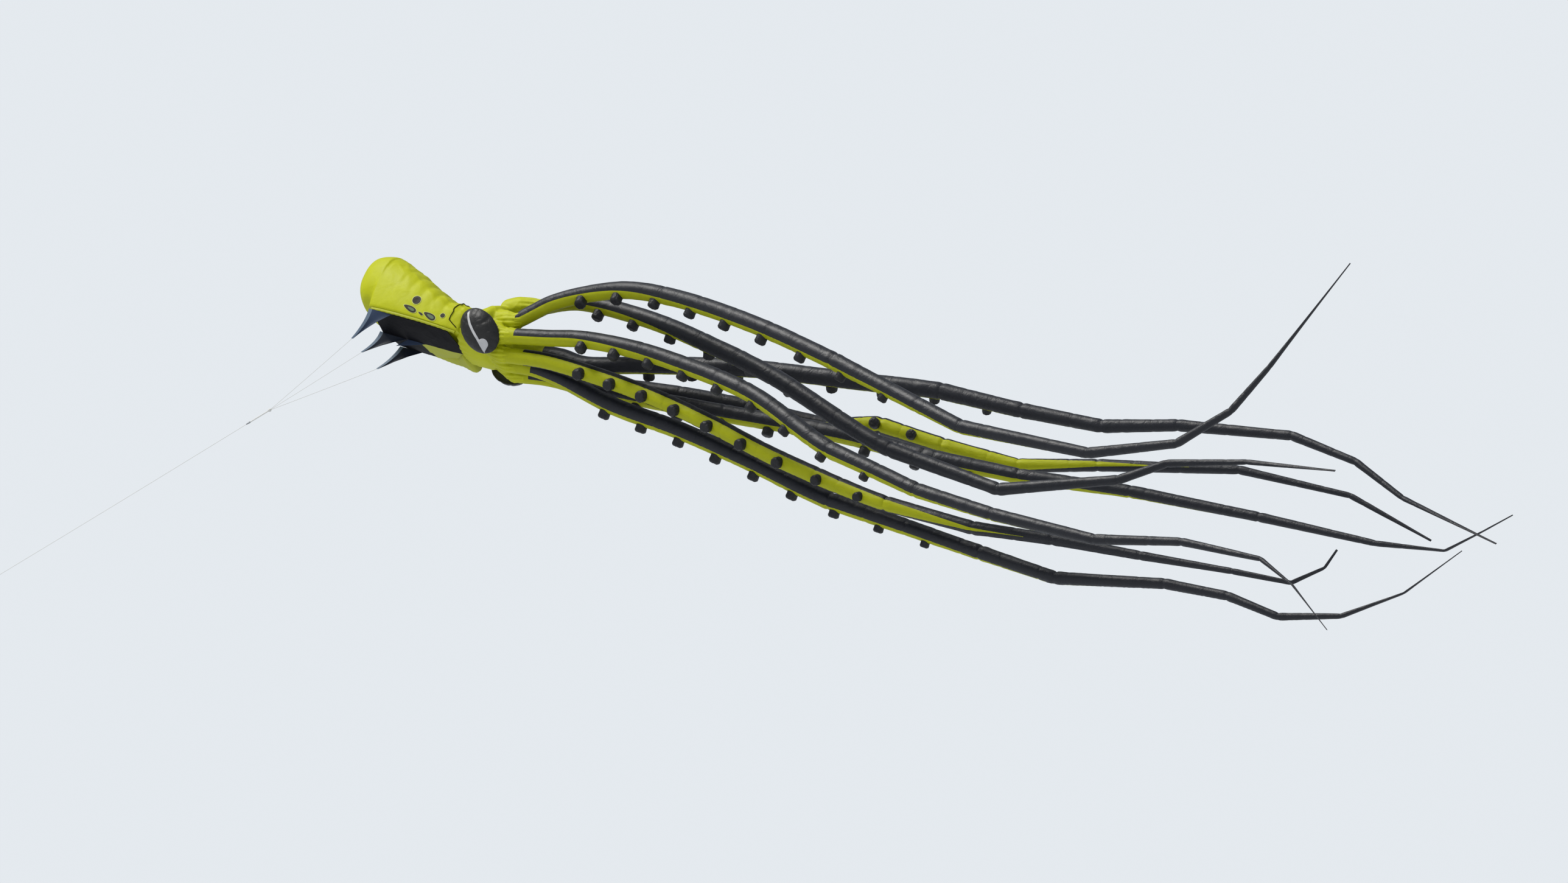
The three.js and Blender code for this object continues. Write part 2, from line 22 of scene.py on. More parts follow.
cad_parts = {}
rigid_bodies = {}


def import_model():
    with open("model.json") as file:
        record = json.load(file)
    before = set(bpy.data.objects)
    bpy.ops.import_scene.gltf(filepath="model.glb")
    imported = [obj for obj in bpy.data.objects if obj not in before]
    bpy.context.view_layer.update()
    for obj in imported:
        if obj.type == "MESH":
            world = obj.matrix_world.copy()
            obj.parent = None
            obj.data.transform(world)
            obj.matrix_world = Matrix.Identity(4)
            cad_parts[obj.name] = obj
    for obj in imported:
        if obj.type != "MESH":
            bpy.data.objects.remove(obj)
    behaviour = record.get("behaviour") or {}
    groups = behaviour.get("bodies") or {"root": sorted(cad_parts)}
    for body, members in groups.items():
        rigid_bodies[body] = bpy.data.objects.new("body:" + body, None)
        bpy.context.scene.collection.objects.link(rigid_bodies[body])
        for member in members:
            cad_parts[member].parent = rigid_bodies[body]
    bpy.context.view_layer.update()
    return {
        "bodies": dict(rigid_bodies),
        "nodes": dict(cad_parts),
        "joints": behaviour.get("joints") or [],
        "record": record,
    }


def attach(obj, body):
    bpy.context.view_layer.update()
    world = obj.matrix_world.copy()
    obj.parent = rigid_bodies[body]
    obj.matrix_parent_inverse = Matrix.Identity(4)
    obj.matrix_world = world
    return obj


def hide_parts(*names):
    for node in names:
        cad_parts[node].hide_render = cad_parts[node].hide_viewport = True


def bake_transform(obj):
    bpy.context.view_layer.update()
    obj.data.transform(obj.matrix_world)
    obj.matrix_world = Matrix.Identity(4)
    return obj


LOG = logging.getLogger("octopus_kite")
Point = tuple[float, float, float]

PITCH = math.radians(27.0)
BODY = Matrix.Translation((1.430, 0.0, 0.825)) @ Matrix.Rotation(PITCH, 4, "Y")
ROOT_BODY = "kite"
SEAM_GAP = 0.0003
SAME_POINT = 2e-5
SHEET_THICKNESS = 0.0022
PATCH_THICKNESS = 0.0016
ARM_RING_X = 1.8086
CURVE_STEPS = 60
SIDE_KEEL_Y = 0.470
SIDE_KEEL_ROOT = -0.031326
SIDE_KEEL_CANT = math.radians(14)
RIDGE_Z = -0.0923


class Side(Enum):
    """The two sides of the body, by the sign of Y."""

    PORT = -1
    STARBOARD = 1

    @property
    def word(self) -> str:
        """The side's name, as the pieces use it."""
        return self.name.lower()


class Pattern(Enum):
    """What a cloth's pattern follows."""

    PIECE = "Object"
    CUT = "UV"


# ------------------------------------------------------------------ mesh helpers
def clear_selection() -> None:
    """Leaves object mode with nothing selected."""
    if bpy.context.object and bpy.context.object.mode != "OBJECT":
        bpy.ops.object.mode_set(mode="OBJECT")
    bpy.ops.object.select_all(action="DESELECT")


def take(obj: bpy.types.Object) -> None:
    """Makes an object the only selected and active one."""
    clear_selection()
    obj.select_set(True)
    bpy.context.view_layer.objects.active = obj


def sew_up(obj: bpy.types.Object, shut: bool = True) -> None:
    """Merges the edges that meet, closes open ends and turns the faces outwards.

    Args:
        obj: The piece.
        shut: Whether open ends are closed.
    """
    take(obj)
    bpy.ops.object.mode_set(mode="EDIT")
    bpy.ops.mesh.select_all(action="SELECT")
    bpy.ops.mesh.remove_doubles(threshold=SAME_POINT)
    if shut:
        bpy.ops.mesh.select_all(action="DESELECT")
        bpy.ops.mesh.select_mode(type="VERT")
        bpy.ops.mesh.select_non_manifold(extend=False, use_wire=False, use_multi_face=False,
                                         use_non_contiguous=False, use_verts=False)
        bpy.ops.mesh.edge_face_add()
        bpy.ops.mesh.select_all(action="SELECT")
    bpy.ops.mesh.normals_make_consistent(inside=False)
    bpy.ops.object.mode_set(mode="OBJECT")


def laid_grid(
    name: str,
    cells: tuple[int, int],
    place: Callable[[float, float], Sequence[float]],
    cut: tuple[float, float] = (1.0, 1.0),
) -> bpy.types.Object:
    """Adds a grid primitive and lays each of its points where place says.

    Args:
        name: The new object's name.
        cells: How many cells it has across and along.
        place: Gives a point for its place across and along, each from 0 to 1.
        cut: The cloth's real width and length, which its UV map is given in.

    Returns:
        The new object.
    """
    clear_selection()
    bpy.ops.mesh.primitive_grid_add(x_subdivisions=cells[0], y_subdivisions=cells[1], size=2,
                                    calc_uvs=True)
    obj = bpy.context.object
    obj.name = obj.data.name = name
    for vertex in obj.data.vertices:
        vertex.co = place((vertex.co.x + 1) / 2, (vertex.co.y + 1) / 2)
    for corner in obj.data.uv_layers.active.data:
        corner.uv = (corner.uv[0] * cut[0], corner.uv[1] * cut[1])
    return obj


def apply_modifiers(obj: bpy.types.Object) -> None:
    """Applies all modifiers of a piece."""
    take(obj)
    for modifier in list(obj.modifiers):
        bpy.ops.object.modifier_apply(modifier=modifier.name)


def thicken(obj: bpy.types.Object, thickness: float, offset: float = 0.0) -> None:
    """Gives an open cloth its thickness."""
    wall = obj.modifiers.new("wall", "SOLIDIFY")
    wall.thickness = thickness
    wall.offset = offset
    apply_modifiers(obj)


def smooth(obj: bpy.types.Object, degrees: float) -> None:
    """Shades a piece smooth, but for edges sharper than the angle."""
    take(obj)
    bpy.ops.object.shade_smooth_by_angle(angle=math.radians(degrees))


def into_kite(obj: bpy.types.Object) -> None:
    """Lays a piece that was drawn in the body's axes into the kite's axes."""
    obj.data.transform(BODY)
    obj.data.update()


def join(pieces: list[bpy.types.Object], name: str) -> bpy.types.Object:
    """Joins pieces into the first of them."""
    clear_selection()
    for piece in pieces:
        piece.select_set(True)
    bpy.context.view_layer.objects.active = pieces[0]
    bpy.ops.object.join()
    pieces[0].name = pieces[0].data.name = name
    return pieces[0]


def surface_of(obj: bpy.types.Object) -> BVHTree:
    """A search tree of a piece's faces as they are now."""
    data = obj.data
    return BVHTree.FromPolygons([v.co.copy() for v in data.vertices],
                                [tuple(p.vertices) for p in data.polygons])


def ease(value: float, low: float, high: float) -> float:
    """A smooth step from 0 at low to 1 at high."""
    t = min(1.0, max(0.0, (value - low) / (high - low)))
    return t * t * (3 - 2 * t)


def crease(point: Sequence[float], sharpness: float) -> float:
    """A noise of thin ridges, from 0 to 1."""
    return max(0.0, 1 - 1.8 * abs(noise.noise(Vector(point)))) ** sharpness


def ride(obj: bpy.types.Object, slot: str, *nodes: str, body: str = ROOT_BODY) -> None:
    """Hangs a finished piece on a body and hides the CAD nodes it stands for."""
    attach(obj, body)
    if nodes:
        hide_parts(*nodes)
    LOG.info("%s: %d faces", obj.name, len(obj.data.polygons) if obj.type == "MESH" else 0)


# ------------------------------------------------------------------ finishes
class Nodes:
    """A node tree under construction."""

    def __init__(self, tree: bpy.types.NodeTree) -> None:
        """Empties the tree."""
        self.tree = tree
        tree.nodes.clear()

    def add(self, kind: str, values: dict | None = None, **settings: object) -> bpy.types.Node:
        """Adds a node.

        Args:
            kind: The node's type without its prefix.
            values: Socket names or numbers with a value, or a socket to link from.
            **settings: Attributes of the node.

        Returns:
            The node.
        """
        node = self.tree.nodes.new(kind if kind.startswith("Node") else "ShaderNode" + kind)
        for key, value in settings.items():
            setattr(node, key, value)
        for key, value in (values or {}).items():
            self.feed(node, key, value)
        return node

    def feed(self, node: bpy.types.Node, key: str | int, value: object) -> None:
        """Sets a socket of a node, or links it from another socket."""
        if isinstance(value, bpy.types.NodeSocket):
            self.tree.links.new(value, node.inputs[key])
        else:
            node.inputs[key].default_value = value

    def math(self, operation: str, *values: object) -> bpy.types.NodeSocket:
        """Adds a Math node and returns its output."""
        return self.add("Math", dict(enumerate(values)), operation=operation).outputs[0]

    def tint(self, share: object, low: Sequence[float], high: Sequence[float]
             ) -> bpy.types.NodeSocket:
        """Adds a mix of two colours and returns its colour."""
        mix = self.add("Mix", {0: share, 6: (*low, 1), 7: (*high, 1)}, data_type="RGBA")
        return mix.outputs[2]

    def bump(self, height: object, strength: float, distance: float, **over: object
             ) -> bpy.types.NodeSocket:
        """Adds a bump, on top of another Normal if one is given, and returns its normal."""
        return self.add("Bump", {"Height": height, "Strength": strength, "Distance": distance,
                                 **over}).outputs[0]


def new_material(name: str) -> tuple[bpy.types.Material, Nodes]:
    """Starts a material and returns it with its empty node tree."""
    material = bpy.data.materials.new(name)
    material.use_nodes = True
    return material, Nodes(material.node_tree)


def close_material(nodes: Nodes, colour: object, roughness: object, normal: object,
                   **more: object) -> None:
    """Ends a material with a Principled shader.

    Args:
        nodes: The material's nodes.
        colour: Its colour, or a socket that gives it.
        roughness: Its roughness, or a socket that gives it.
        normal: The socket of its normal.
        **more: Further inputs, with underscores for the spaces in their names.
    """
    values = {"Base Color": colour, "Roughness": roughness, "Normal": normal}
    values.update({key.replace("_", " "): value for key, value in more.items()})
    shader = nodes.add("BsdfPrincipled", values)
    nodes.add("OutputMaterial", {"Surface": shader.outputs[0]})


def new_group(name: str, inputs: dict[str, tuple[str, object]],
              outputs: Sequence[str]) -> tuple[Nodes, bpy.types.Node, bpy.types.Node]:
    """Starts a shader node group.

    Args:
        name: The group's name.
        inputs: Input names with their socket type and default.
        outputs: Names of the outputs, which are all values.

    Returns:
        Its nodes, its input node and its output node.
    """
    tree = bpy.data.node_groups.new(name, "ShaderNodeTree")
    for label, (kind, default) in inputs.items():
        socket = tree.interface.new_socket(name=label, in_out="INPUT", socket_type=kind)
        if default is not None:
            socket.default_value = default
    for label in outputs:
        tree.interface.new_socket(name=label, in_out="OUTPUT", socket_type="NodeSocketFloat")
    nodes = Nodes(tree)
    return nodes, nodes.add("NodeGroupInput"), nodes.add("NodeGroupOutput")


def weave_group() -> bpy.types.NodeTree:
    """Ripstop: fine plain cloth with a thicker thread every few millimetres both ways."""
    nodes, start, end = new_group(
        "ripstop_weave",
        {"Vector": ("NodeSocketVector", None), "Pitch": ("NodeSocketFloat", 0.006)},
        ("Height", "Thread"))
    scaled = nodes.add("VectorMath", {0: start.outputs["Vector"]}, operation="SCALE")
    nodes.feed(scaled, "Scale", nodes.math("DIVIDE", 1.0, start.outputs["Pitch"]))
    parts = nodes.add("SeparateXYZ", {0: scaled.outputs[0]})
    across = nodes.math("ADD", parts.outputs[0], nodes.math("MULTIPLY", parts.outputs[2], 0.71))
    along = nodes.math("ADD", parts.outputs[1], nodes.math("MULTIPLY", parts.outputs[2], 0.71))
    ridges = [nodes.math("GREATER_THAN", nodes.math("PINGPONG", line, 0.5), 0.43)
              for line in (across, along)]
    thread = nodes.math("MAXIMUM", *ridges)
    fine = [nodes.math("SINE", nodes.math("MULTIPLY", line, 62.0)) for line in (across, along)]
    cloth = nodes.math("MULTIPLY", nodes.math("MULTIPLY", *fine), 0.18)
    nodes.feed(end, "Height", nodes.math("ADD", thread, cloth))
    nodes.feed(end, "Thread", thread)
    return nodes.tree


def crinkle_group() -> bpy.types.NodeTree:
    """The soft dents and sharp little folds of taut, much packed nylon."""
    nodes, start, end = new_group(
        "nylon_crinkle",
        {"Vector": ("NodeSocketVector", None), "Size": ("NodeSocketFloat", 6.0)},
        ("Height", "Tone"))
    soft = nodes.add("TexNoise", {"Vector": start.outputs["Vector"], "Scale": start.outputs["Size"],
                                  "Detail": 3.0, "Roughness": 0.55, "Distortion": 0.8})
    folds = nodes.add("TexNoise", {"Vector": start.outputs["Vector"], "Detail": 2.0,
                                   "Roughness": 0.5, "Distortion": 1.6},
                      noise_type="RIDGED_MULTIFRACTAL")
    nodes.feed(folds, "Scale", nodes.math("MULTIPLY", start.outputs["Size"], 2.1))
    sharp = nodes.math("POWER", nodes.math("MULTIPLY", folds.outputs[0], 0.5), 3.0)
    height = nodes.math("ADD", soft.outputs[0], nodes.math("MULTIPLY", sharp, 0.6))
    nodes.feed(end, "Height", height)
    # the soft dent noise also tells the cloths where to paint shade: darker in the dents
    nodes.feed(end, "Tone", soft.outputs[0])
    return nodes.tree


@dataclass(frozen=True)
class Cloth:
    """A ripstop nylon finish."""

    name: str
    colour: Point
    # painted shade: the colour painted into the crinkle's dents
    deep: Point
    roughness: float = 0.52
    sheen: float = 0.05
    gloss: float = 0.30
    glow: float = 0.0
    pattern: Pattern = Pattern.PIECE
    crinkle: float = 0.006
    crinkle_size: float = 6.0
    weave: float = 0.00035

    def material(self, groups: dict[str, bpy.types.NodeTree]) -> bpy.types.Material:
        """Builds the material.

        Args:
            groups: The shared node groups by name.

        Returns:
            The finished material.
        """
        material, nodes = new_material(self.name)
        place = nodes.add("TexCoord").outputs[self.pattern.value]
        weave = nodes.add("Group", {"Vector": place}, node_tree=groups["weave"])
        crinkle = nodes.add("Group", {"Vector": place, "Size": self.crinkle_size},
                            node_tree=groups["crinkle"])
        soft = crinkle.outputs["Tone"]
        # painted shade: the colour runs from deep in the crinkle's dents to the full colour on its
        # rises; the thicker threads are a darker tone of the colour
        threads = nodes.add("Mix", {
            0: nodes.math("MULTIPLY", weave.outputs["Thread"], 0.22),
            6: nodes.tint(soft, self.deep, self.colour),
            7: (*[min(1.0, c * 0.72) for c in self.colour], 1)}, data_type="RGBA").outputs[2]
        folds = nodes.bump(crinkle.outputs["Height"], 0.8, self.crinkle)
        fine = nodes.bump(weave.outputs["Height"], 0.5, self.weave, Normal=folds)
        shader = nodes.add("BsdfPrincipled", {
            "Base Color": threads, "Normal": fine, "IOR": 1.5,
            "Roughness": nodes.math("MULTIPLY_ADD", soft, 0.2, self.roughness - 0.1),
            "Sheen Weight": self.sheen, "Sheen Roughness": 0.4, "Specular IOR Level": self.gloss,
            "Sheen Tint": (*[min(1.0, 0.1 + c) for c in self.colour], 1)})
        surface = shader.outputs[0]
        if self.glow:
            through = nodes.add("BsdfTranslucent", {"Color": threads, "Normal": folds})
            surface = nodes.add("MixShader", {0: self.glow, 1: surface,
                                              2: through.outputs[0]}).outputs[0]
        nodes.add("OutputMaterial", {"Surface": surface})
        return material


@dataclass(frozen=True)
class Braid:
    """A braided polyester line."""

    name: str
    colour: Point
    strands: float = 260.0

    def material(self) -> bpy.types.Material:
        """Builds the material."""
        material, nodes = new_material(self.name)
        parts = nodes.add("SeparateXYZ", {0: nodes.add("TexCoord").outputs["Object"]})
        x, y, z = parts.outputs
        run = nodes.math("ADD", x, z)
        turn = nodes.math("MULTIPLY", nodes.math("SUBTRACT", z, y), 2.0)
        waves = [nodes.math("SINE", nodes.math("MULTIPLY", nodes.math(kind, run, turn),
                                               self.strands)) for kind in ("ADD", "SUBTRACT")]
        plait = nodes.math("MULTIPLY", *waves)
        # painted shade: the braid is darker in the grooves between its strands
        tint = nodes.tint(nodes.math("MULTIPLY_ADD", plait, 0.5, 0.5),
                          [c * 0.62 for c in self.colour], self.colour)
        close_material(nodes, tint, 0.62, nodes.bump(plait, 0.6, 0.0006), Sheen_Weight=0.3)
        return material


@dataclass(frozen=True)
class OpenMesh:
    """An open black mesh cloth, through which the air enters."""

    name: str
    colour: Point
    holes_per_metre: float = 160.0

    def material(self) -> bpy.types.Material:
        """Builds the material."""
        material, nodes = new_material(self.name)
        parts = nodes.add("SeparateXYZ", {0: nodes.add("TexCoord").outputs["Object"]})
        lines = [nodes.math("PINGPONG", nodes.math("MULTIPLY", axis, self.holes_per_metre), 0.5)
                 for axis in parts.outputs[:2]]
        hole = nodes.math("LESS_THAN", nodes.math("MAXIMUM", *lines), 0.36)
        # painted shade: the holes are painted near black, for the dark inside seen through them
        tint = nodes.tint(hole, self.colour, [c * 0.2 for c in self.colour])
        close_material(nodes, tint, 0.7,
                       nodes.bump(nodes.math("SUBTRACT", 1.0, hole), 0.8, 0.001))
        return material


@dataclass(frozen=True)
class Steel:
    """Dull stainless steel with a fine turned grain."""

    name: str
    colour: Point

    def material(self) -> bpy.types.Material:
        """Builds the material."""
        material, nodes = new_material(self.name)
        place = nodes.add("TexCoord").outputs["Object"]
        grain = nodes.add("TexNoise", {"Vector": place, "Scale": 900.0, "Detail": 2.0})
        stain = nodes.add("TexNoise", {"Vector": place, "Scale": 60.0, "Detail": 3.0})
        tint = nodes.tint(stain.outputs[0], [c * 0.6 for c in self.colour], self.colour)
        rough = nodes.math("MULTIPLY_ADD", stain.outputs[0], 0.25, 0.25)
        close_material(nodes, tint, rough, nodes.bump(grain.outputs[0], 0.3, 0.0002), Metallic=1.0)
        return material


class Wardrobe:
    """Every finish of the kite, built once."""

    def __init__(self) -> None:
        """Builds the shared groups and the materials."""
        groups = {"weave": weave_group(), "crinkle": crinkle_group()}
        yellow = (0.62, 0.66, 0.010)
        # painted shade: the colour painted into the yellow cloths' dents
        deep_yellow = (0.50, 0.53, 0.004)
        black = (0.011, 0.0125, 0.019)
        # painted shade: the colour painted into the dents of the black arm and sucker cloths
        dent_shade_black = (0.005, 0.006, 0.009)
        cloths = [
            Cloth("yellow_ripstop", yellow, deep_yellow, glow=0.25, crinkle=0.010,
                  crinkle_size=5.0),
            Cloth("yellow_arm_ripstop", yellow, deep_yellow, pattern=Pattern.CUT, glow=0.36,
                  crinkle=0.008, crinkle_size=9.0),
            # painted shade: a darker copy of the yellow, for the strips under the mantle and the
            # far half of the belly
            Cloth("shaded_yellow_ripstop", (0.40, 0.43, 0.008), (0.29, 0.31, 0.004)),
            # painted shade: a darker copy of the black cloth, for the belly and the neck welt
            Cloth("black_ripstop", (0.004, 0.004, 0.006), (0.002, 0.002, 0.003), roughness=0.55,
                  gloss=0.06),
            Cloth("black_arm_ripstop", black, dent_shade_black, roughness=0.44, gloss=0.35,
                  pattern=Pattern.CUT, crinkle=0.012, crinkle_size=11.0),
            Cloth("black_pad_ripstop", (0.020, 0.020, 0.020), (0.010, 0.010, 0.010),
                  roughness=0.40, crinkle=0.012, crinkle_size=9.0),
            Cloth("sucker_ripstop", (0.017, 0.017, 0.019), dent_shade_black, roughness=0.45,
                  crinkle=0.014, crinkle_size=22.0),
            # painted light: the navy cloth painted lighter, as if lit through from behind, for the
            # port keel's web and the gusset
            Cloth("slate_ripstop", (0.050, 0.080, 0.150), (0.028, 0.046, 0.090), glow=0.35),
            Cloth("navy_ripstop", (0.012, 0.018, 0.034), (0.006, 0.010, 0.018), glow=0.1),
            Cloth("pale_ripstop", (0.17, 0.23, 0.31), (0.10, 0.14, 0.20), glow=0.2),
            Cloth("silver_cloth", (0.55, 0.55, 0.55), (0.40, 0.40, 0.41), roughness=0.35,
                  crinkle=0.008, crinkle_size=12.0),
            Cloth("dark_spot_cloth", (0.024, 0.020, 0.009), (0.012, 0.010, 0.005)),
            Cloth("pale_trim_cloth", (0.62, 0.66, 0.20), (0.50, 0.54, 0.12)),
            Cloth("green_spot_cloth", (0.12, 0.18, 0.10), (0.08, 0.12, 0.06)),
        ]
        self.materials = {cloth.name: cloth.material(groups) for cloth in cloths}
        for finish in (Braid("white_braid", (0.78, 0.78, 0.75)),
                       OpenMesh("black_mesh", (0.02, 0.02, 0.022)),
                       Steel("dull_steel", (0.32, 0.33, 0.35))):
            self.materials[finish.name] = finish.material()

    def dress(self, obj: bpy.types.Object, *names: str) -> None:
        """Gives a piece its materials, in order."""
        if obj.data.materials:
            obj.data.materials.clear()
        for name in names:
            obj.data.materials.append(self.materials[name])

    def hang_up(self, obj: bpy.types.Object, finishes: Sequence[str], slot: str, *nodes: str,
                sharp: float = 50.0) -> None:
        """Finishes a piece that was drawn in the body's axes and hangs it on the body.

        Args:
            obj: The piece.
            finishes: Its materials, in order.
            slot: The slot it belongs to; not used.
            *nodes: The CAD nodes it stands for.
            sharp: The angle above which its edges stay sharp, in degrees.
        """
        smooth(obj, sharp)
        self.dress(obj, *finishes)
        into_kite(obj)
        ride(obj, slot, *nodes)


# ------------------------------------------------------------------ camera, light and floor
@dataclass
class Studio:
    """A plain pale setting with a long lens that looks up at the kite."""

    azimuth: float = math.radians(22)
    elevation: float = math.radians(30)
    aim: Point = (5.417, 2.383, -0.312)
    width: float = 18.032
    distance: float = 470.0
    sensor: float = 36.0
    floor_z: float = -12.5

    def looking(self) -> Vector:
        """The direction in which the camera looks."""
        level = math.cos(self.elevation)
        return Vector((-math.sin(self.azimuth) * level, math.cos(self.azimuth) * level,
                       math.sin(self.elevation)))

    def camera(self) -> None:
        """Adds the camera."""
        data = bpy.data.cameras.new("camera")
        data.sensor_width = self.sensor
        data.lens = self.sensor * self.distance / self.width
        data.clip_end = 4 * self.distance
        camera = bpy.data.objects.new("camera", data)
        bpy.context.scene.collection.objects.link(camera)
        camera.location = Vector(self.aim) - self.looking() * self.distance
        camera.rotation_euler = self.looking().to_track_quat("-Z", "Y").to_euler()
        bpy.context.scene.camera = camera

    def floor(self) -> None:
        """Adds a wide pale floor, which can be looked through from below."""
        clear_selection()
        bpy.ops.mesh.primitive_plane_add(size=900, location=(5, 0, self.floor_z))
        floor = bpy.context.object
        floor.name = "floor"
        material, nodes = new_material("pale_floor")
        place = nodes.add("TexCoord").outputs["Object"]
        cloud = nodes.add("TexNoise", {"Vector": place, "Scale": 0.35, "Detail": 2.0})
        tint = nodes.tint(cloud.outputs[0], (0.63, 0.65, 0.68), (0.66, 0.68, 0.71))
        matt = nodes.add("BsdfDiffuse", {"Color": tint})
        clear = nodes.add("BsdfTransparent")
        below = nodes.add("NewGeometry").outputs["Backfacing"]
        mixed = nodes.add("MixShader", {0: below, 1: matt.outputs[0], 2: clear.outputs[0]})
        nodes.add("OutputMaterial", {"Surface": mixed.outputs[0]})
        floor.data.materials.append(material)

    def light(self) -> None:
        """Adds one broad soft lamp and an even pale sky."""
        data = bpy.data.lights.new("soft_sun", "SUN")
        data.energy = 3.5
        data.angle = math.radians(22)
        data.color = (1.0, 0.98, 0.94)
        lamp = bpy.data.objects.new("soft_sun", data)
        bpy.context.scene.collection.objects.link(lamp)
        lamp.rotation_euler = Vector((0.30, 0.55, -0.78)).to_track_quat("-Z", "Y").to_euler()
        world = bpy.data.worlds.new("pale_sky")
        bpy.context.scene.world = world
        world.use_nodes = True
        nodes = Nodes(world.node_tree)
        seen = nodes.add("LightPath").outputs["Is Camera Ray"]
        glow = nodes.add("Background", {"Color": (0.80, 0.86, 0.95, 1), "Strength": 0.42})
        back = nodes.add("Background", {"Color": (0.78, 0.82, 0.86, 1), "Strength": 1.0})
        mixed = nodes.add("MixShader", {0: seen, 1: glow.outputs[0], 2: back.outputs[0]})
        nodes.add("OutputWorld", {"Surface": mixed.outputs[0]})
        bpy.context.scene.view_settings.view_transform = "Standard"


# ------------------------------------------------------------------ lines
@dataclass
class Lines:
    """The bridle, the tow sleeve, the swivel and the flying line."""

    elevation: float = math.radians(23.5)
    knot: float = 0.020
    bridle_radius: float = 0.0025
    line_start: float = 0.3171
    line_end: float = 3.800
    line_radius: float = 0.003
    side_tip: tuple[float, float] = (-0.0735, -0.420)
    centre_tip: Point = (-0.1185, 0.0, -0.400)
    spans: int = 23
    sag: float = 0.0016

    def along(self, distance: float) -> Vector:
        """The point on the flying line that far from the tow point."""
        return Vector((-math.cos(self.elevation), 0, -math.sin(self.elevation))) * distance

    def tips(self) -> dict[str, Vector]:
        """Where the bridle lines are tied to the keels."""
        hang = SIDE_KEEL_ROOT - self.side_tip[1]
        y = SIDE_KEEL_Y - hang * math.sin(SIDE_KEEL_CANT)
        z = SIDE_KEEL_ROOT - hang * math.cos(SIDE_KEEL_CANT)
        return {
            "port": BODY @ Vector((self.side_tip[0], -y, z)),
            "centre": BODY @ Vector(self.centre_tip),
            "starboard": BODY @ Vector((self.side_tip[0], y, z)),
        }

    def cord(self, name: str, start: Vector, end: Vector, radius: float) -> bpy.types.Object:
        """Adds a taut cord as a curve with its own section.

        Args:
            name: The new object's name.
            start: Where it leaves.
            end: Where it arrives.
            radius: Its radius.

        Returns:
            The cord.
        """
        clear_selection()
        bpy.ops.curve.primitive_nurbs_path_add()
        obj = bpy.context.object
        obj.name = obj.data.name = name
        obj.location = (0, 0, 0)
        obj.data.splines.clear()
        spline = obj.data.splines.new("POLY")
        spline.points.add(self.spans)
        for i, point in enumerate(spline.points):
            t = i / self.spans
            sag = self.sag * (start - end).length * math.sin(math.pi * t)
            point.co = (*(start.lerp(end, t) - Vector((0, 0, sag))), 1)
        obj.data.dimensions = "3D"
        obj.data.bevel_depth = radius
        obj.data.bevel_resolution = 3
        obj.data.use_fill_caps = True
        return obj

    def build(self, wardrobe: Wardrobe, nodes: dict[str, bpy.types.Object]) -> None:
        """Adds the cords and dresses the pieces on them.

        Args:
            wardrobe: The finishes.
            nodes: The CAD nodes by name.
        """
        for name, finish in (("tow_knot", "white_braid"), ("tow_sleeve", "white_braid"),
                             ("line_end_loop", "white_braid"), ("swivel_barrel", "dull_steel"),
                             ("swivel_eye", "dull_steel")):
            wardrobe.dress(nodes[name], finish)
        for word, tip in self.tips().items():
            start = tip + tip.normalized() * -self.bridle_radius
            end = tip.normalized() * self.knot
            bridle = self.cord(f"{word}_bridle", start, end, self.bridle_radius)
            wardrobe.dress(bridle, "white_braid")
            ride(bridle, "cord", f"{word}_bridle_line")
            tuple(start)
            (start - end).length
        start, end = self.along(self.line_start), self.along(self.line_end)
        line = self.cord("flying_cord", start, end, self.line_radius)
        wardrobe.dress(line, "white_braid")
        ride(line, "cord", "flying_line", body="line")
        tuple(start)
        (start - end).length


# ------------------------------------------------------------------ sections of the body
Station = tuple[float, float, float, float]


def section_at(stations: Sequence[Station], t: float) -> list[float]:
    """A smooth section between stations.

    Args:
        stations: Place, half width, lowest and highest point of each.
        t: From 0 at the first station to 1 at the last.

    Returns:
        Place, half width, lowest and highest point.
    """
    last = len(stations) - 1
    i = min(last - 1, int(t * last))
    w = t * last - i
    a, b = stations[i], stations[i + 1]
    before, after = stations[max(0, i - 1)], stations[min(last, i + 2)]
    out = []
    for p, q, r, s in zip(before, a, b, after):
        m0, m1 = (r - p) / 2, (s - q) / 2
        if (r - q) * m0 <= 0:
            m0 = 0
        if (r - q) * m1 <= 0:
            m1 = 0
        limit = 3 * abs(r - q)
        m0, m1 = (max(-limit, min(limit, m)) for m in (m0, m1))
        out.append(q + m0 * w + (3 * (r - q) - 2 * m0 - m1) * w ** 2
                   + (2 * (q - r) + m0 + m1) * w ** 3)
    return out


def bulged(value: float, squareness: float) -> float:
    """A sine or cosine drawn out towards a square section."""
    return math.copysign(abs(value) ** (2 / squareness), value)


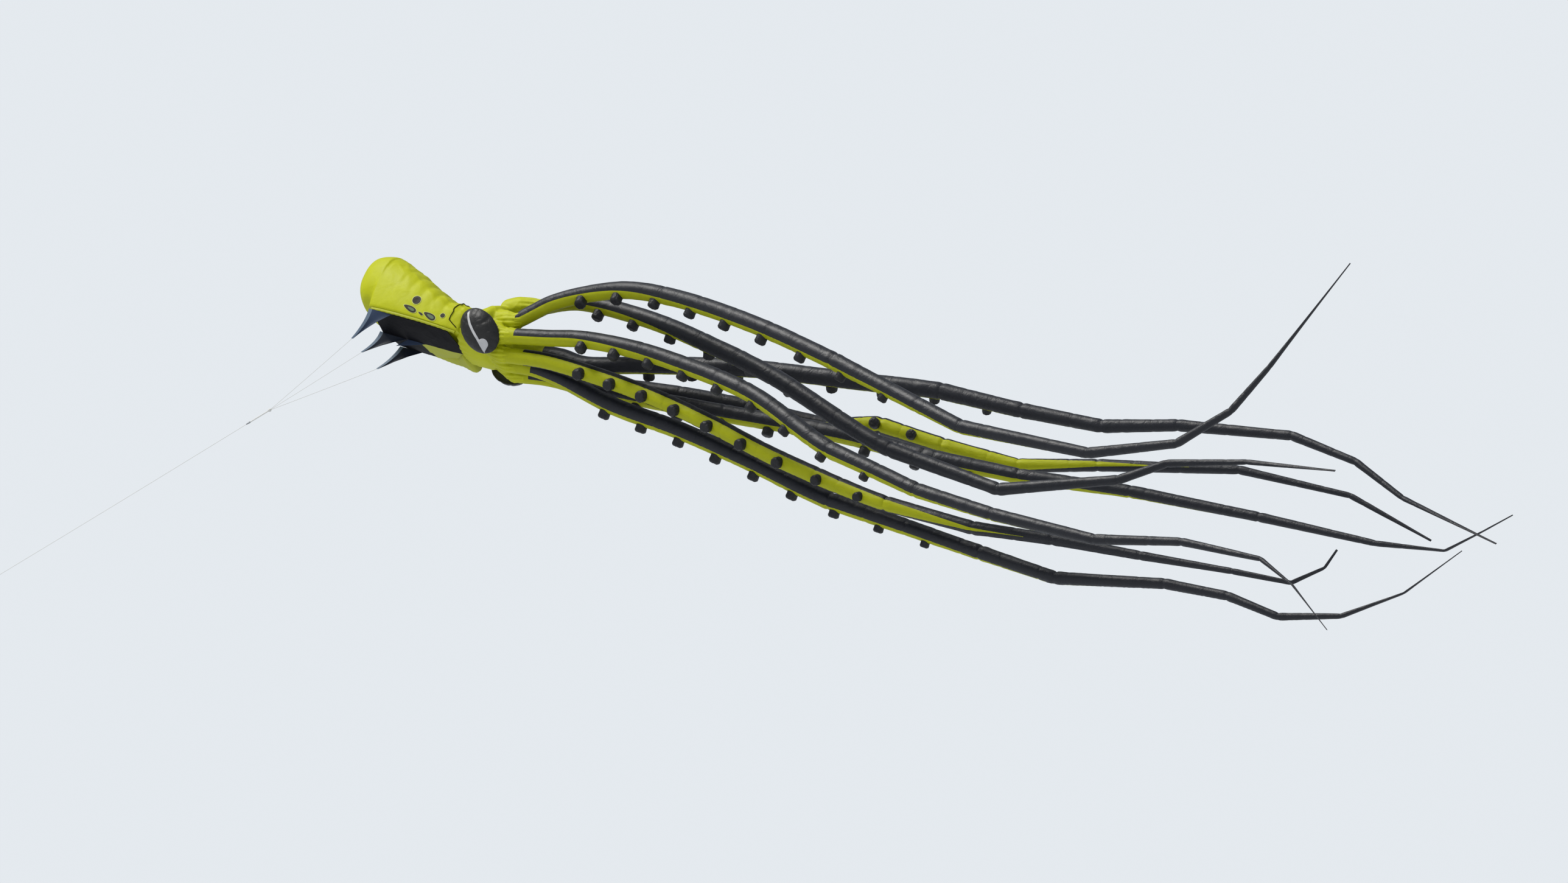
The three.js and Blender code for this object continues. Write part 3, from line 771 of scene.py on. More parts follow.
@dataclass
class Mantle:
    """The balloon of the back, from nose to neck, with its spots and neck welt."""

    squareness: float = 2.7
    stations: tuple[Station, ...] = (
        (-0.418, 0.004, 0.405, 0.413), (-0.414, 0.100, 0.345, 0.475),
        (-0.400, 0.190, 0.295, 0.530), (-0.370, 0.285, 0.215, 0.610),
        (-0.295, 0.385, 0.115, 0.698), (-0.195, 0.450, 0.035, 0.742),
        (-0.055, 0.485, 0.000, 0.768), (0.000, 0.495, -0.220, 0.762),
        (0.150, 0.508, -0.250, 0.712), (0.400, 0.515, -0.250, 0.612),
        (0.700, 0.503, -0.230, 0.488), (0.950, 0.475, -0.210, 0.408),
        (1.190, 0.430, -0.180, 0.378), (1.215, 0.400, -0.160, 0.350),
        (1.216, 0.380, -0.140, 0.330))
    over_top: float = 0.76
    first_rib: float = 0.27
    rib_pitch: float = 0.165
    neck: float = 1.216
    welt_radius: float = 0.0050
    surface: BVHTree | None = None

    def puff(self, x: float, high: float, side: float) -> float:
        """How far the skin stands out there: rib bulges, gathers and soft folds.

        Args:
            x: Place along the body.
            high: Sine of the height round the section, 1 at the top.
            side: Sine of the place across, 1 at starboard.

        Returns:
            An offset in metres.
        """
        top = ease(high, -0.1, 0.8)
        ribs = abs(math.sin(math.pi * (x - self.first_rib) / self.rib_pitch)) ** 0.7
        out = 0.028 * top * ease(x, 0.10, 0.5) * (ribs - 0.55)
        out += 0.020 * top * math.exp(-((x - 1.09) / 0.07) ** 2)
        neck = ease(x, 0.70, 1.15)
        fan = math.cos(21 * side + 7 * high + 5 * x)
        out += 0.006 * neck * fan * (0.4 + 0.6 * top)
        slant = (x * 7 + high * 1.2, high * 2.0 - x * 1.5, side * 1.6)
        out += 0.011 * (0.3 + 0.7 * top) * ease(x, -0.15, 0.25) * crease(slant, 5)
        out += 0.006 * noise.noise(Vector((x * 3.2, side * 1.8, high * 1.8 + 4)))
        return out * ease(x, -0.41, -0.2) * ease(self.neck, x, x + 0.05)

    def place(self, a: float, b: float) -> Point:
        """The point of the skin across and along, each from 0 to 1."""
        x, half, low, high = section_at(self.stations, b)
        middle, tall = (low + high) / 2, (high - low) / 2
        cut = 0.0
        if low < 0:
            cut = math.acos(min(1.0, max(0.0, (middle / tall)) ** (self.squareness / 2)))
        if a <= self.over_top:
            angle = cut + (2 * math.pi - 2 * cut) * a / self.over_top
            side, up = math.sin(angle), -math.cos(angle)
            y = half * bulged(side, self.squareness)
            z = middle + tall * bulged(up, self.squareness)
            out = self.puff(x, up, side)
            away = math.hypot(y, z - middle) or 1.0
            edge = ease(min(a, self.over_top - a), 0.0, 0.03)
            return (x, y * (1 + out * edge / away), z + (z - middle) * out * edge / away)
        t = (a - self.over_top) / (1 - self.over_top)
        y = half * bulged(math.sin(cut), self.squareness)
        return (x, -y + 2 * y * t, max(low, 0.0))

    def build(self, wardrobe: Wardrobe) -> None:
        """Adds the skin, its spots and the welt at the neck."""
        skin = laid_grid("mantle_skin", (110, 150), self.place, (2.6, 1.7))
        sew_up(skin)
        self.surface = surface_of(skin)
        wardrobe.hang_up(skin, ["yellow_ripstop"], "yellow_cloth", "mantle")
        for side in Side:
            self.spots(wardrobe, side)
        self.welt(wardrobe)

    def on_skin(self, x: float, z: float, side: Side, proud: float) -> Vector:
        """A point of the flank, moved a little outwards.

        Args:
            x: Place along the body.
            z: Place up.
            side: Which flank.
            proud: How far outwards it moves.

        Returns:
            The point.
        """
        hit, normal, _, _ = self.surface.ray_cast(Vector((x, side.value * 2.0, z)),
                                                  Vector((0, -side.value, 0)))
        if hit is None:
            hit, normal, _, _ = self.surface.find_nearest(Vector((x, side.value * 0.5, z)))
        return hit + normal * proud * (1 if normal.y * side.value > 0 else -1)

    def spots(self, wardrobe: Wardrobe, side: Side) -> None:
        """Adds the sewn-on spots of one flank: discs, and teardrops with a green heart."""
        def disc(at: tuple[float, float], radius: float) -> Callable[[float, float], tuple]:
            """A disc, by the share of its radius and the angle."""
            return lambda r, t: (at[0] + r * radius * math.cos(t), at[1] + r * radius * math.sin(t))

        def drop(at: tuple[float, float], size: tuple[float, float],
                 degrees: float) -> Callable[[float, float], tuple]:
            """A teardrop that leans by some degrees, by the share of its size and the angle."""
            tilt = math.radians(degrees)

            def point(r: float, t: float) -> tuple[float, float]:
                """A point of the teardrop."""
                u = math.cos(t)
                v = math.sin(t) * (0.5 + 0.5 * math.cos(t / 2) ** 2)
                u, v = r * u * size[0], r * v * size[1]
                return (at[0] + u * math.cos(tilt) - v * math.sin(tilt),
                        at[1] + u * math.sin(tilt) + v * math.cos(tilt))
            return point

        dark = [
            ("large", disc((0.578, 0.205), 0.052), 1.13),
            ("front", drop((0.545, 0.085), (0.090, 0.042), -12), 1.10),
            ("sliver", drop((0.700, 0.062), (0.036, 0.016), -18), 1.15),
            ("rear", drop((0.818, 0.066), (0.084, 0.046), -14), 1.10),
            ("small", disc((0.965, 0.120), 0.028), 1.18),
        ]
        hearts = [
            ("front_heart", drop((0.560, 0.083), (0.048, 0.020), -12), 1.0),
            ("rear_heart", drop((0.832, 0.063), (0.050, 0.024), -14), 1.0),
        ]

        def patch(label: str, shape: Callable[[float, float], tuple], scale: float,
                  proud: float) -> bpy.types.Object:
            """One layer of one spot, laid onto the flank."""
            cloth = laid_grid(f"{side.word}_{label}", (28, 6), lambda a, b: self.on_skin(
                *shape(b * scale, 2 * math.pi * a), side, proud))
            sew_up(cloth, shut=False)
            thicken(cloth, PATCH_THICKNESS)
            return cloth

        for word, shapes, proud, trimmed, finish, slot in (
            ("spots", dark, 0.0042, False, "dark_spot_cloth", "black_cloth"),
            ("spot_trims", dark, 0.0028, True, "pale_trim_cloth", "yellow_cloth"),
            ("spot_hearts", hearts, 0.0058, False, "green_spot_cloth", "yellow_cloth"),
        ):
            piece = join([patch(label, shape, trim if trimmed else 1.0, proud)
                          for label, shape, trim in shapes], f"{side.word}_{word}")
            wardrobe.hang_up(piece, [finish], slot, sharp=60)

    def welt(self, wardrobe: Wardrobe) -> None:
        """Adds the thin black welt that is sewn round the neck and dips over each flank."""
        corners = [(1.180, 0.035), (1.120, 0.066), (1.060, 0.100), (1.058, 0.150), (1.062, 0.210),
                   (1.040, 0.270), (1.050, 0.330)]
        half = [tuple(p + (q - p) * k / 4 for p, q in zip(a, b))
                for a, b in zip(corners, corners[1:]) for k in range(4)] + [corners[-1]]
        proud = self.welt_radius
        route = [self.on_skin(x, z, Side.PORT, proud) for x, z in half]
        for i in range(1, 36):
            y = -0.36 + 0.72 * i / 36
            hit, normal, _, _ = self.surface.ray_cast(Vector((1.05, y, 2)), Vector((0, 0, -1)))
            route.append(hit + normal * proud)
        route += [self.on_skin(x, z, Side.STARBOARD, proud) for x, z in reversed(half)]
        # painted shade: the welt takes the darker, shaded copy of the black
        wardrobe.hang_up(bead("neck_welt", route, self.welt_radius), ["black_ripstop"],
                         "black_cloth", "neck_piping", sharp=60)


def bead(name: str, route: Sequence[Vector], radius: float, sides: int = 8) -> bpy.types.Object:
    """A closed round bead that follows a route.

    Args:
        name: The new object's name.
        route: The points of its centre line.
        radius: Its radius.
        sides: How many sides it has.

    Returns:
        The new object.
    """
    points = [Vector(p) for p in route]

    def place(a: float, b: float) -> Vector:
        """A point of the bead, round it and along it."""
        t = b * (len(points) - 1)
        i = min(len(points) - 2, int(t))
        at = points[i].lerp(points[i + 1], t - i)
        ahead = points[min(len(points) - 1, i + 1)] - points[max(0, i if t - i > 0.5 else i - 1)]
        across = ahead.cross(Vector((0.13, 0.21, 0.97))).normalized()
        other = ahead.cross(across).normalized()
        angle = 2 * math.pi * a
        return at + across * radius * math.cos(angle) + other * radius * math.sin(angle)

    obj = laid_grid(name, (sides, 3 * (len(points) - 1)), place)
    sew_up(obj)
    return obj


# ------------------------------------------------------------------ belly and keels
@dataclass
class Belly:
    """The black panel under the mantle, the strips at its sides and the intake mesh."""

    mantle: Mantle
    front: float = 0.030
    rear: float = 1.085
    tail: float = 0.070
    ridge: float = 0.062
    drop: float = 0.030
    strip: float = 0.024
    strip_rear: float = 1.176
    yellow_from: float = 0.55
    mesh_front: float = -0.050
    mesh_size: tuple[float, float] = (0.66, 0.0792)

    def seam(self, x: float) -> float:
        """Half width of the mantle where it meets the belly."""
        stations = [s for s in self.mantle.stations if s[0] >= 0]
        i = 0
        while i < len(stations) - 2 and stations[i + 1][0] < x:
            i += 1
        a, b = stations[i], stations[i + 1]
        t = min(1.0, (x - a[0]) / (b[0] - a[0]))
        half, low, high = (a[k] + (b[k] - a[k]) * t for k in (1, 2, 3))
        off = abs((low + high) / 2) / ((high - low) / 2)
        n = self.mantle.squareness
        return half * (1 - off ** n) ** (1 / n)

    def panel(self, wardrobe: Wardrobe) -> None:
        """Adds the black panel, slightly billowed between its ridge and its edges."""
        def place(a: float, b: float) -> Point:
            """A point of the panel, across and along it."""
            side = 2 * a - 1
            edge = self.front + (self.rear - self.front) * b
            x = edge + self.tail * b * min(1.0, 1.6 * (1 - abs(side)))
            y = side * (self.seam(edge) - self.strip - SEAM_GAP)
            z = -self.drop - self.ridge * (1 - abs(side))
            billow = 0.012 * math.sin(math.pi * abs(side)) * math.sin(math.pi * min(1, b * 1.05))
            folds = 0.004 * crease((x * 5, y * 5, 2.0), 4)
            folds += 0.003 * noise.noise(Vector((x * 4, y * 4, 7)))
            return (x, y, z - billow - folds * (1 - abs(side)) ** 0.3)
        panel = laid_grid("belly_skin", (48, 60), place, (0.95, 1.12))
        # painted shade: the rear faces of the far half take the darker, shaded yellow
        for face in panel.data.polygons:
            face.material_index = int(face.center.y > 0 and face.center.x > self.yellow_from)
        thicken(panel, 0.006, 1.0)
        # painted shade: the panel's black and yellow are both darker, shaded copies
        wardrobe.hang_up(panel, ["black_ripstop", "shaded_yellow_ripstop"], "black_cloth",
                         "belly_panel")

    def strips(self, wardrobe: Wardrobe) -> None:
        """Adds the strips, in a yellow darkened by painted shade, which swell under the mantle's
        seam.
        """
        for side in Side:
            swell = 0.0 if side is Side.PORT else 1.0

            def place(a: float, b: float, side: Side = side, swell: float = swell) -> Point:
                """A point of the strip, round it and along it."""
                x = self.front + (self.strip_rear - self.front) * b
                angle = 2 * math.pi * a
                hang = swell * (0.050 * ease(x, 0.40, 0.95) + 0.055 * ease(x, 0.90, 1.15))
                hang *= 1 - 0.35 * ease(x, 1.14, 1.18)
                width = self.strip + 3.9 * hang
                tall = self.drop + hang
                y = self.seam(x) + 0.2 * hang - width * (0.5 - 0.5 * bulged(math.cos(angle), 3.2))
                z = -tall / 2 + tall / 2 * bulged(math.sin(angle), 3.2)
                z += 0.002 * math.sin(x * 90) * max(0.0, -math.sin(angle))
                return (x, side.value * y, z)
            strip = laid_grid(f"{side.word}_strip_skin", (32, 90), place, (0.12, 1.15))
            sew_up(strip)
            wardrobe.hang_up(strip, ["shaded_yellow_ripstop"], "shade_cloth",
                             f"{side.word}_side_strip")

    def mesh(self, wardrobe: Wardrobe) -> None:
        """Adds the open mesh of the air intake, ahead of the panel."""
        def place(a: float, b: float) -> Point:
            """A point of the mesh, across and along it."""
            y = self.mesh_size[0] / 2 * (2 * a - 1)
            x = self.mesh_front + self.mesh_size[1] * b
            return (x, y, -0.0033 - 0.004 * math.sin(math.pi * b) * math.sin(math.pi * a))
        mesh = laid_grid("intake_cloth", (44, 12), place, (0.66, 0.08))
        thicken(mesh, 0.003)
        wardrobe.hang_up(mesh, ["black_mesh"], "mesh_cloth", "intake_mesh")

    def build(self, wardrobe: Wardrobe) -> None:
        """Adds all of the belly's pieces."""
        self.panel(wardrobe)
        self.strips(wardrobe)
        self.mesh(wardrobe)


def tight_sheet(wardrobe: Wardrobe, name: str, cells: tuple[int, int],
                place: Callable[[float, float], Sequence[float]], flat: tuple[float, float],
                finish: str, slot: str, node: str) -> None:
    """Args:
        wardrobe: The finishes.
        name: The piece's name.
        cells: How many cells it has across and along.
        place: Gives a point for its place across and along.
        flat: The size of the cloth it's cut from.
        finish: Its material.
        slot: Its slot; not used.
        node: The CAD node it stands for.
    """
    cloth = laid_grid(name, cells, place, flat)
    sew_up(cloth, shut=False)
    thicken(cloth, SHEET_THICKNESS)
    wardrobe.hang_up(cloth, [finish], slot, node)


@dataclass
class Keel:
    """One keel: a cloth web with a band along its hollow leading edge."""

    name: str
    front: float
    rear: float
    tip: tuple[float, float]
    root: float
    y: float = 0.0
    cant: float = 0.0
    web: str = "navy_ripstop"
    band: str = "pale_ripstop"
    ribbon: float = 0.046
    bow: float = 0.16
    belly: float = 0.014

    def bowed(self, a: tuple, b: tuple, towards: tuple) -> tuple[float, float]:
        """The handle of a hollowed edge between two corners."""
        return tuple((p + q) / 2 + self.bow * (t - (p + q) / 2) for p, q, t in zip(a, b, towards))

    @staticmethod
    def curve(a: tuple, handle: tuple, b: tuple, t: float) -> Vector:
        """A point on a quadratic curve."""
        return Vector([(1 - t) ** 2 * p + 2 * t * (1 - t) * h + t * t * q
                       for p, h, q in zip(a, handle, b)])

    def hang(self, flat: Vector, share: float, depth: float) -> Vector:
        """Leans a flat point over, with the cloth's own belly added.

        Args:
            flat: The point in the keel's own plane.
            share: How far across the web it lies.
            depth: How far down it lies.

        Returns:
            The point in the body's axes.
        """
        out = self.belly * math.sin(math.pi * share) * math.sin(math.pi * min(1, depth))
        out += 0.003 * noise.noise(Vector((flat.x * 9, flat.y * 9, self.y)))
        rise = flat.y - self.root
        return Vector((flat.x, self.y + out * math.cos(self.cant) - rise * math.sin(self.cant),
                       self.root + rise * math.cos(self.cant) + out * math.sin(self.cant)))

    def build(self, wardrobe: Wardrobe) -> None:
        """Adds the web and the band."""
        a, b, tip = (self.front, self.root), (self.rear, self.root), self.tip
        lead, trail = self.bowed(a, tip, b), self.bowed(tip, b, a)
        wide, seam = self.ribbon, self.ribbon + 2 * SEAM_GAP

        def shifted(point: tuple, by: float) -> tuple[float, float]:
            """A flat point, moved back."""
            return (point[0] + by, point[1])

        def band(u: float, v: float) -> Vector:
            """A point of the band, across and down it."""
            outer = self.curve(a, lead, tip, v)
            inner = self.curve(shifted(a, wide), shifted(lead, wide), shifted(tip, wide / 2), v)
            return self.hang(outer.lerp(inner, u), 0.0, v)

        def web(u: float, v: float) -> Vector:
            """A point of the web, across and down it."""
            front = self.curve(shifted(a, seam), shifted(lead, seam),
                               shifted(tip, seam / 2 + SEAM_GAP), v)
            back = self.curve(b, trail, shifted(tip, seam / 2 + SEAM_GAP), v)
            return self.hang(front.lerp(back, u), u, v)

        length = math.dist(a, tip)
        tight_sheet(wardrobe, f"{self.name}_band", (6, 40), band, (wide, length), self.band,
                    "pale_cloth", f"{self.name}_edge")
        tight_sheet(wardrobe, f"{self.name}_web", (30, 40), web, (self.rear - self.front, length),
                    self.web, "keel_cloth", self.name)


@dataclass
class Gusset:
    """The gusset behind the centre keel, in the navy cloth painted lighter as if lit through from
    behind.
    """

    rear_of_keel: float = 0.385
    rear: float = 0.645
    drop: float = 0.120
    cut: tuple[float, float] = (0.30, 0.17)

    def build(self, wardrobe: Wardrobe) -> None:
        """Adds the gusset."""
        top = Vector((self.rear_of_keel + 2 * SEAM_GAP, RIDGE_Z))
        low = Vector((self.rear_of_keel - self.drop, RIDGE_Z - self.drop))
        back = Vector((self.rear, RIDGE_Z))

        def place(a: float, b: float) -> Point:
            """A point of the gusset, across and down it."""
            flat = top.lerp(low, b).lerp(back, a)
            return (flat.x, 0.006 * math.sin(math.pi * a) * b, flat.y)
        tight_sheet(wardrobe, "centre_gusset", (24, 14), place, self.cut, "slate_ripstop",
                    "pale_cloth", "centre_keel_gusset")


# ------------------------------------------------------------------ arms
@dataclass
class Arm:
    """One inflated arm: its course, its two-coloured skin and its suckers."""

    name: str
    ring: tuple[float, float]
    course: list[tuple[int, int, int]]
    roll: tuple[float, float]
    rolls_at: tuple[float, float] = (0.6, 2.6)
    face: float = 50.0
    dark_from: float = 0.16
    suckers: int = 9
    first: float = 1.07
    pitch: float = 0.45
    growth: float = 0.03
    yellow_to: float = 0.64
    taper: tuple[tuple[float, float], ...] = (
        (0, 0.092), (0.12, 0.104), (0.38, 0.102), (0.58, 0.078), (0.75, 0.056), (0.9, 0.030),
        (1, 0.009))
    socket: float = 0.150
    bends: tuple[float, float] = (0.36, 0.68)
    around: int = 28
    start: float = 0.035
    kinks_from: float = 0.34
    ring_pitch: float = 0.030
    cloth_width: float = 0.62
    table: np.ndarray = field(default=None, repr=False)
    creases: list[tuple[float, float, float]] = field(default_factory=list)

    def trace(self) -> None:
        """Traces the centre line as a table of distance and place."""
        root = BODY @ Vector((ARM_RING_X, *self.ring))
        points = [np.array(root)] + [np.array(root) + np.array(p) / 1000 for p in self.course]
        out = []
        last = len(points) - 1
        for k in range(CURVE_STEPS * last + 1):
            i = min(last - 1, k // CURVE_STEPS)
            w = k / CURVE_STEPS - i
            p1, p2 = points[i], points[i + 1]
            p0 = points[i - 1] if i > 0 else 2 * p1 - p2
            p3 = points[i + 2] if i + 2 <= last else 2 * p2 - p1
            d0, d1, d2 = (max(1e-4, np.linalg.norm(q - p) ** 0.5)
                          for p, q in ((p0, p1), (p1, p2), (p2, p3)))
            t1 = ((p1 - p0) / d0 - (p2 - p0) / (d0 + d1) + (p2 - p1) / d1) * d1
            t2 = ((p2 - p1) / d1 - (p3 - p1) / (d1 + d2) + (p3 - p2) / d2) * d1
            out.append(p1 + t1 * w + (3 * (p2 - p1) - 2 * t1 - t2) * w ** 2
                       + (2 * (p1 - p2) + t1 + t2) * w ** 3)
        line = np.array(out)
        steps = np.linalg.norm(np.diff(line, axis=0), axis=1)
        table = np.column_stack([np.concatenate([[0], np.cumsum(steps)]), line])
        corners = [table[CURVE_STEPS * i] for i in range(1, last)]
        kinks = [corner for corner in corners if corner[0] > self.kinks_from * table[-1, 0]]
        smooth_part = table[table[:, 0] < kinks[0][0]]
        self.table = np.vstack([smooth_part, kinks, table[-1:]])
        chance = random.Random(self.name)
        marks = [(k[0], 0.075 + 0.04 * chance.random()) for k in kinks]
        s = 0.12 * self.length
        while s < 0.93 * self.length:
            s += 0.32 + 0.30 * chance.random()
            if min(abs(s - m[0]) for m in marks) > 0.14:
                marks.append((s, 0.014 + 0.034 * chance.random()))
        self.creases = [(s, depth, chance.random() * 6.28) for s, depth in sorted(marks)]

    @property
    def length(self) -> float:
        """The arm's length along its centre line."""
        return float(self.table[-1, 0])

    def at(self, s: float) -> Vector:
        """The point of the centre line at a distance from the root."""
        near = [s]
        if 0.03 < s < self.length - 0.03:
            near = [s - 0.022, s - 0.011, s, s + 0.011, s + 0.022]
        return Vector([float(np.mean(np.interp(near, self.table[:, 0], self.table[:, k])))
                       for k in (1, 2, 3)])

    def turn(self, s: float) -> float:
        """How far the yellow face is rolled towards port there, in radians."""
        first, last = self.roll
        return math.radians(first + (last - first) * ease(s, *self.rolls_at))

    def axes(self, s: float) -> tuple[Vector, Vector, Vector]:
        """The arm's own axes at a distance: along it, to starboard and up."""
        along = (self.at(min(self.length, s + 0.01)) - self.at(max(0.0, s - 0.01))).normalized()
        settled = min(1.0, s / self.socket)
        along = along.lerp(BODY.col[0].to_3d(), 1 - settled).normalized()
        side = Vector((0, 1, 0))
        side = (side - along * side.dot(along)).normalized()
        return along, side, along.cross(side)

    def face_axes(self, s: float) -> tuple[Vector, Vector, Vector]:
        """Three directions at a distance: along, out of the yellow face and across it."""
        along, side, up = self.axes(s)
        turn = self.turn(s)
        down = (-up * math.cos(turn) - side * math.sin(turn)).normalized()
        return along, down, down.cross(along).normalized()

    def radius(self, s: float) -> float:
        """The skin's mean radius at a distance."""
        u = s / self.length
        xs, rs = [t[0] for t in self.taper], [t[1] for t in self.taper]
        return float(sum(np.interp(u + d, xs, rs) for d in (-0.02, 0.0, 0.02)) / 3)

    def yellow(self, s: float) -> float:
        """Half the angle that the yellow face takes up there, in radians."""
        u = s / self.length
        return math.radians(self.face * (1 - 0.96 * ease(u, self.yellow_to - 0.2, self.yellow_to)))

    def skin_point(self, s: float, angle: float, seam: float) -> Vector:
        """A point of the skin, with its creases, puckers and folds.

        Args:
            s: Distance from the root.
            angle: Angle round the arm, 0 in the middle of the yellow face.
            seam: Angle at which the yellow face ends.

        Returns:
            The point.
        """
        radius = self.radius(s)
        factor = 1.0
        for at, depth, phase in self.creases:
            far = abs(s - at)
            if far < 0.3:
                factor -= depth * math.exp(-(far / 0.020) ** 2)
                factor += 0.30 * depth * math.exp(-((far - 0.065) / 0.04) ** 2)
                factor += 0.40 * depth * math.cos(7 * angle + phase) * math.exp(-(far / 0.09) ** 2)
        near = min(abs(angle - seam), abs(2 * math.pi - angle - seam))
        pucker = 0.6 + 0.4 * math.sin(s * 118 + 2 * math.sin(s * 9))
        factor -= 0.045 * pucker * math.exp(-(near / 0.17) ** 2)
        ring = (math.cos(angle) * 1.1, math.sin(angle) * 1.1)
        factor += 0.020 * noise.noise(Vector((s * 6, *ring)))
        factor += 0.016 * crease((s * 13, ring[0] * 1.6, ring[1] * 1.6 + 3), 4)
        flat = ease(s / self.length, 0.84, 0.97)
        _, down, across = self.face_axes(s)
        return (self.at(s) + down * radius * factor * (1 - 0.55 * flat) * math.cos(angle)
                + across * radius * factor * (1 + 0.25 * flat) * math.sin(angle))

    def rings(self, first: float, last: float) -> list[float]:
        """Distances of the skin's rings, closer together at the creases."""
        count = max(2, round((last - first) / self.ring_pitch))
        out = [first + (last - first) * k / count for k in range(count + 1)]
        for at, _, _ in self.creases:
            out += [at + d for d in (-0.024, -0.011, 0.0, 0.011, 0.024)
                    if first + 0.02 < at + d < last - 0.02]
        out = sorted(out)
        kept = [out[0]]
        for s in out[1:]:
            if s - kept[-1] > 0.006:
                kept.append(s)
        return kept

    def skin(self, label: str, first: float, last: float) -> bpy.types.Object:
        """Adds one length of skin.

        Args:
            label: The end of its name.
            first: Distance of its inner end.
            last: Distance of its outer end.

        Returns:
            The skin, yellow below and black above.
        """
        rings = self.rings(first, last)
        below = self.around * 2 // 5

        def angle_of(a: float, s: float) -> tuple[float, float]:
            """The angle round the skin and the angle of its seam there."""
            seam = self.yellow(s)
            step = a * self.around
            if step <= below:
                return -seam + 2 * seam * step / below, seam
            return seam + (2 * math.pi - 2 * seam) * (step - below) / (self.around - below), seam

        def place(a: float, b: float) -> Vector:
            """A point of the skin, round it and along it."""
            s = rings[round(b * (len(rings) - 1))]
            angle, seam = angle_of(a, s)
            return self.skin_point(s, angle % (2 * math.pi), seam)

        skin = laid_grid(f"{self.name}_{label}", (self.around, len(rings) - 1), place,
                         (self.cloth_width, last - first))
        uv = skin.data.uv_layers.active.data
        for face in skin.data.polygons:
            corners = [uv[k].uv for k in face.loop_indices]
            a = sum(corner[0] for corner in corners) / face.loop_total / self.cloth_width
            b = sum(corner[1] for corner in corners) / face.loop_total / (last - first)
            s = rings[min(len(rings) - 1, round(b * (len(rings) - 1)))]
            dark = a * self.around > below or s > self.yellow_to * self.length
            face.material_index = int(dark and s > self.dark_from)
        sew_up(skin)
        smooth(skin, 60)
        return skin

    def build(self, wardrobe: Wardrobe, sucker: "Sucker") -> None:
        """Adds the three lengths of skin, each across one bend, and the suckers on them."""
        self.trace()
        length = self.length
        hinges = [self.socket, self.bends[0] * length, self.bends[1] * length]
        cuts = [self.start, (hinges[0] + hinges[1]) / 2, (hinges[1] + hinges[2]) / 2, length]
        stands_for = [(f"{self.name}_socket", f"{self.name}_inner"),
                      (f"{self.name}_middle",), (f"{self.name}_outer",)]
        places = [self.first + self.pitch * k + self.growth * k * (k - 1) / 2
                  for k in range(self.suckers)]
        for k, label in enumerate(("root_skin", "mid_skin", "tip_skin")):
            along = self.axes(hinges[k])[0]
            reach = 0.11 if k == 0 else 0.20
            bend = {"start": self.at(hinges[k]) - along * reach,
                    "end": self.at(hinges[k]) + along * reach}
            skin = self.skin(label, cuts[k], cuts[k + 1])
            wardrobe.dress(skin, "yellow_arm_ripstop", "black_arm_ripstop")
            pieces = [skin]
            on = [s for s in places if cuts[k] < s <= cuts[k + 1]]
            if on:
                pieces.append(join([sucker.copy(self, s) for s in on],
                                   f"{self.name}_suckers_{k + 1}"))
            for piece in pieces:
                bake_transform(piece)
                LOG.info("%s: %d faces", piece.name, len(piece.data.polygons))
            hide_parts(*stands_for[k])


@dataclass
class Sucker:
    """A stubby stuffed dome that is modelled once and copied along the arms."""

    radius: float = 0.068
    height: float = 0.104
    sunk: float = 0.014
    rounding: float = 0.034
    model: bpy.types.Object | None = None

    def build(self, wardrobe: Wardrobe) -> None:
        """Models the dome: a drum with a rounded, puckered crown and a waist at its seam."""
        clear_selection()
        bpy.ops.mesh.primitive_cylinder_add(vertices=20, radius=self.radius, depth=self.height,
                                            location=(0, 0, self.height / 2 - self.sunk))
        obj = bpy.context.object
        obj.name = "sucker_model"
        bpy.ops.object.transform_apply(location=True, rotation=True, scale=True)
        bpy.ops.object.mode_set(mode="EDIT")
        bpy.ops.mesh.select_mode(type="FACE")
        bpy.ops.mesh.select_all(action="DESELECT")
        bpy.ops.object.mode_set(mode="OBJECT")
        for face in obj.data.polygons:
            face.select = face.normal.z > 0.9
        bpy.ops.object.mode_set(mode="EDIT")
        bpy.ops.mesh.bevel(offset=self.rounding, segments=4, affect="EDGES")
        bpy.ops.mesh.select_all(action="SELECT")
        bpy.ops.mesh.subdivide(number_cuts=1)
        bpy.ops.object.mode_set(mode="OBJECT")
        for vertex in obj.data.vertices:
            x, y, z = vertex.co
            turn = math.atan2(y, x)
            tall = z / self.height
            waist = 1 - 0.06 * math.exp(-((tall - 0.30) / 0.12) ** 2)
            pucker = 1 + 0.030 * math.cos(9 * turn) * ease(tall, 0.2, 0.8)
            vertex.co.x, vertex.co.y = x * waist * pucker, y * waist * pucker
            vertex.co.z = z + 0.004 * noise.noise(Vector((x * 40, y * 40, z * 30)))
        wardrobe.dress(obj, "sucker_ripstop")
        smooth(obj, 50)
        self.model = obj

    def copy(self, arm: Arm, s: float) -> bpy.types.Object:
        """Copies the dome onto an arm's yellow face.

        Args:
            arm: The arm.
            s: Distance along it.

        Returns:
            The copy, with its own mesh.
        """
        along, down, across = arm.face_axes(s)
        size = 1.0 - 0.28 * ease(s, 0.30 * arm.length, 0.55 * arm.length)
        place = Matrix((along, across, down)).transposed().to_4x4()
        tall = size * (0.97 + 0.06 * math.sin(s * 9))
        place = place @ Matrix.Diagonal((size, size * 1.04, tall, 1))
        place.translation = arm.at(s) + down * (arm.radius(s) * 0.99 - 0.004)
        clone = self.model.copy()
        clone.data = self.model.data.copy()
        bpy.context.scene.collection.objects.link(clone)
        clone.data.transform(place)
        return clone

    def put_away(self) -> None:
        """Removes the model once every copy is made."""
        bpy.data.objects.remove(self.model)


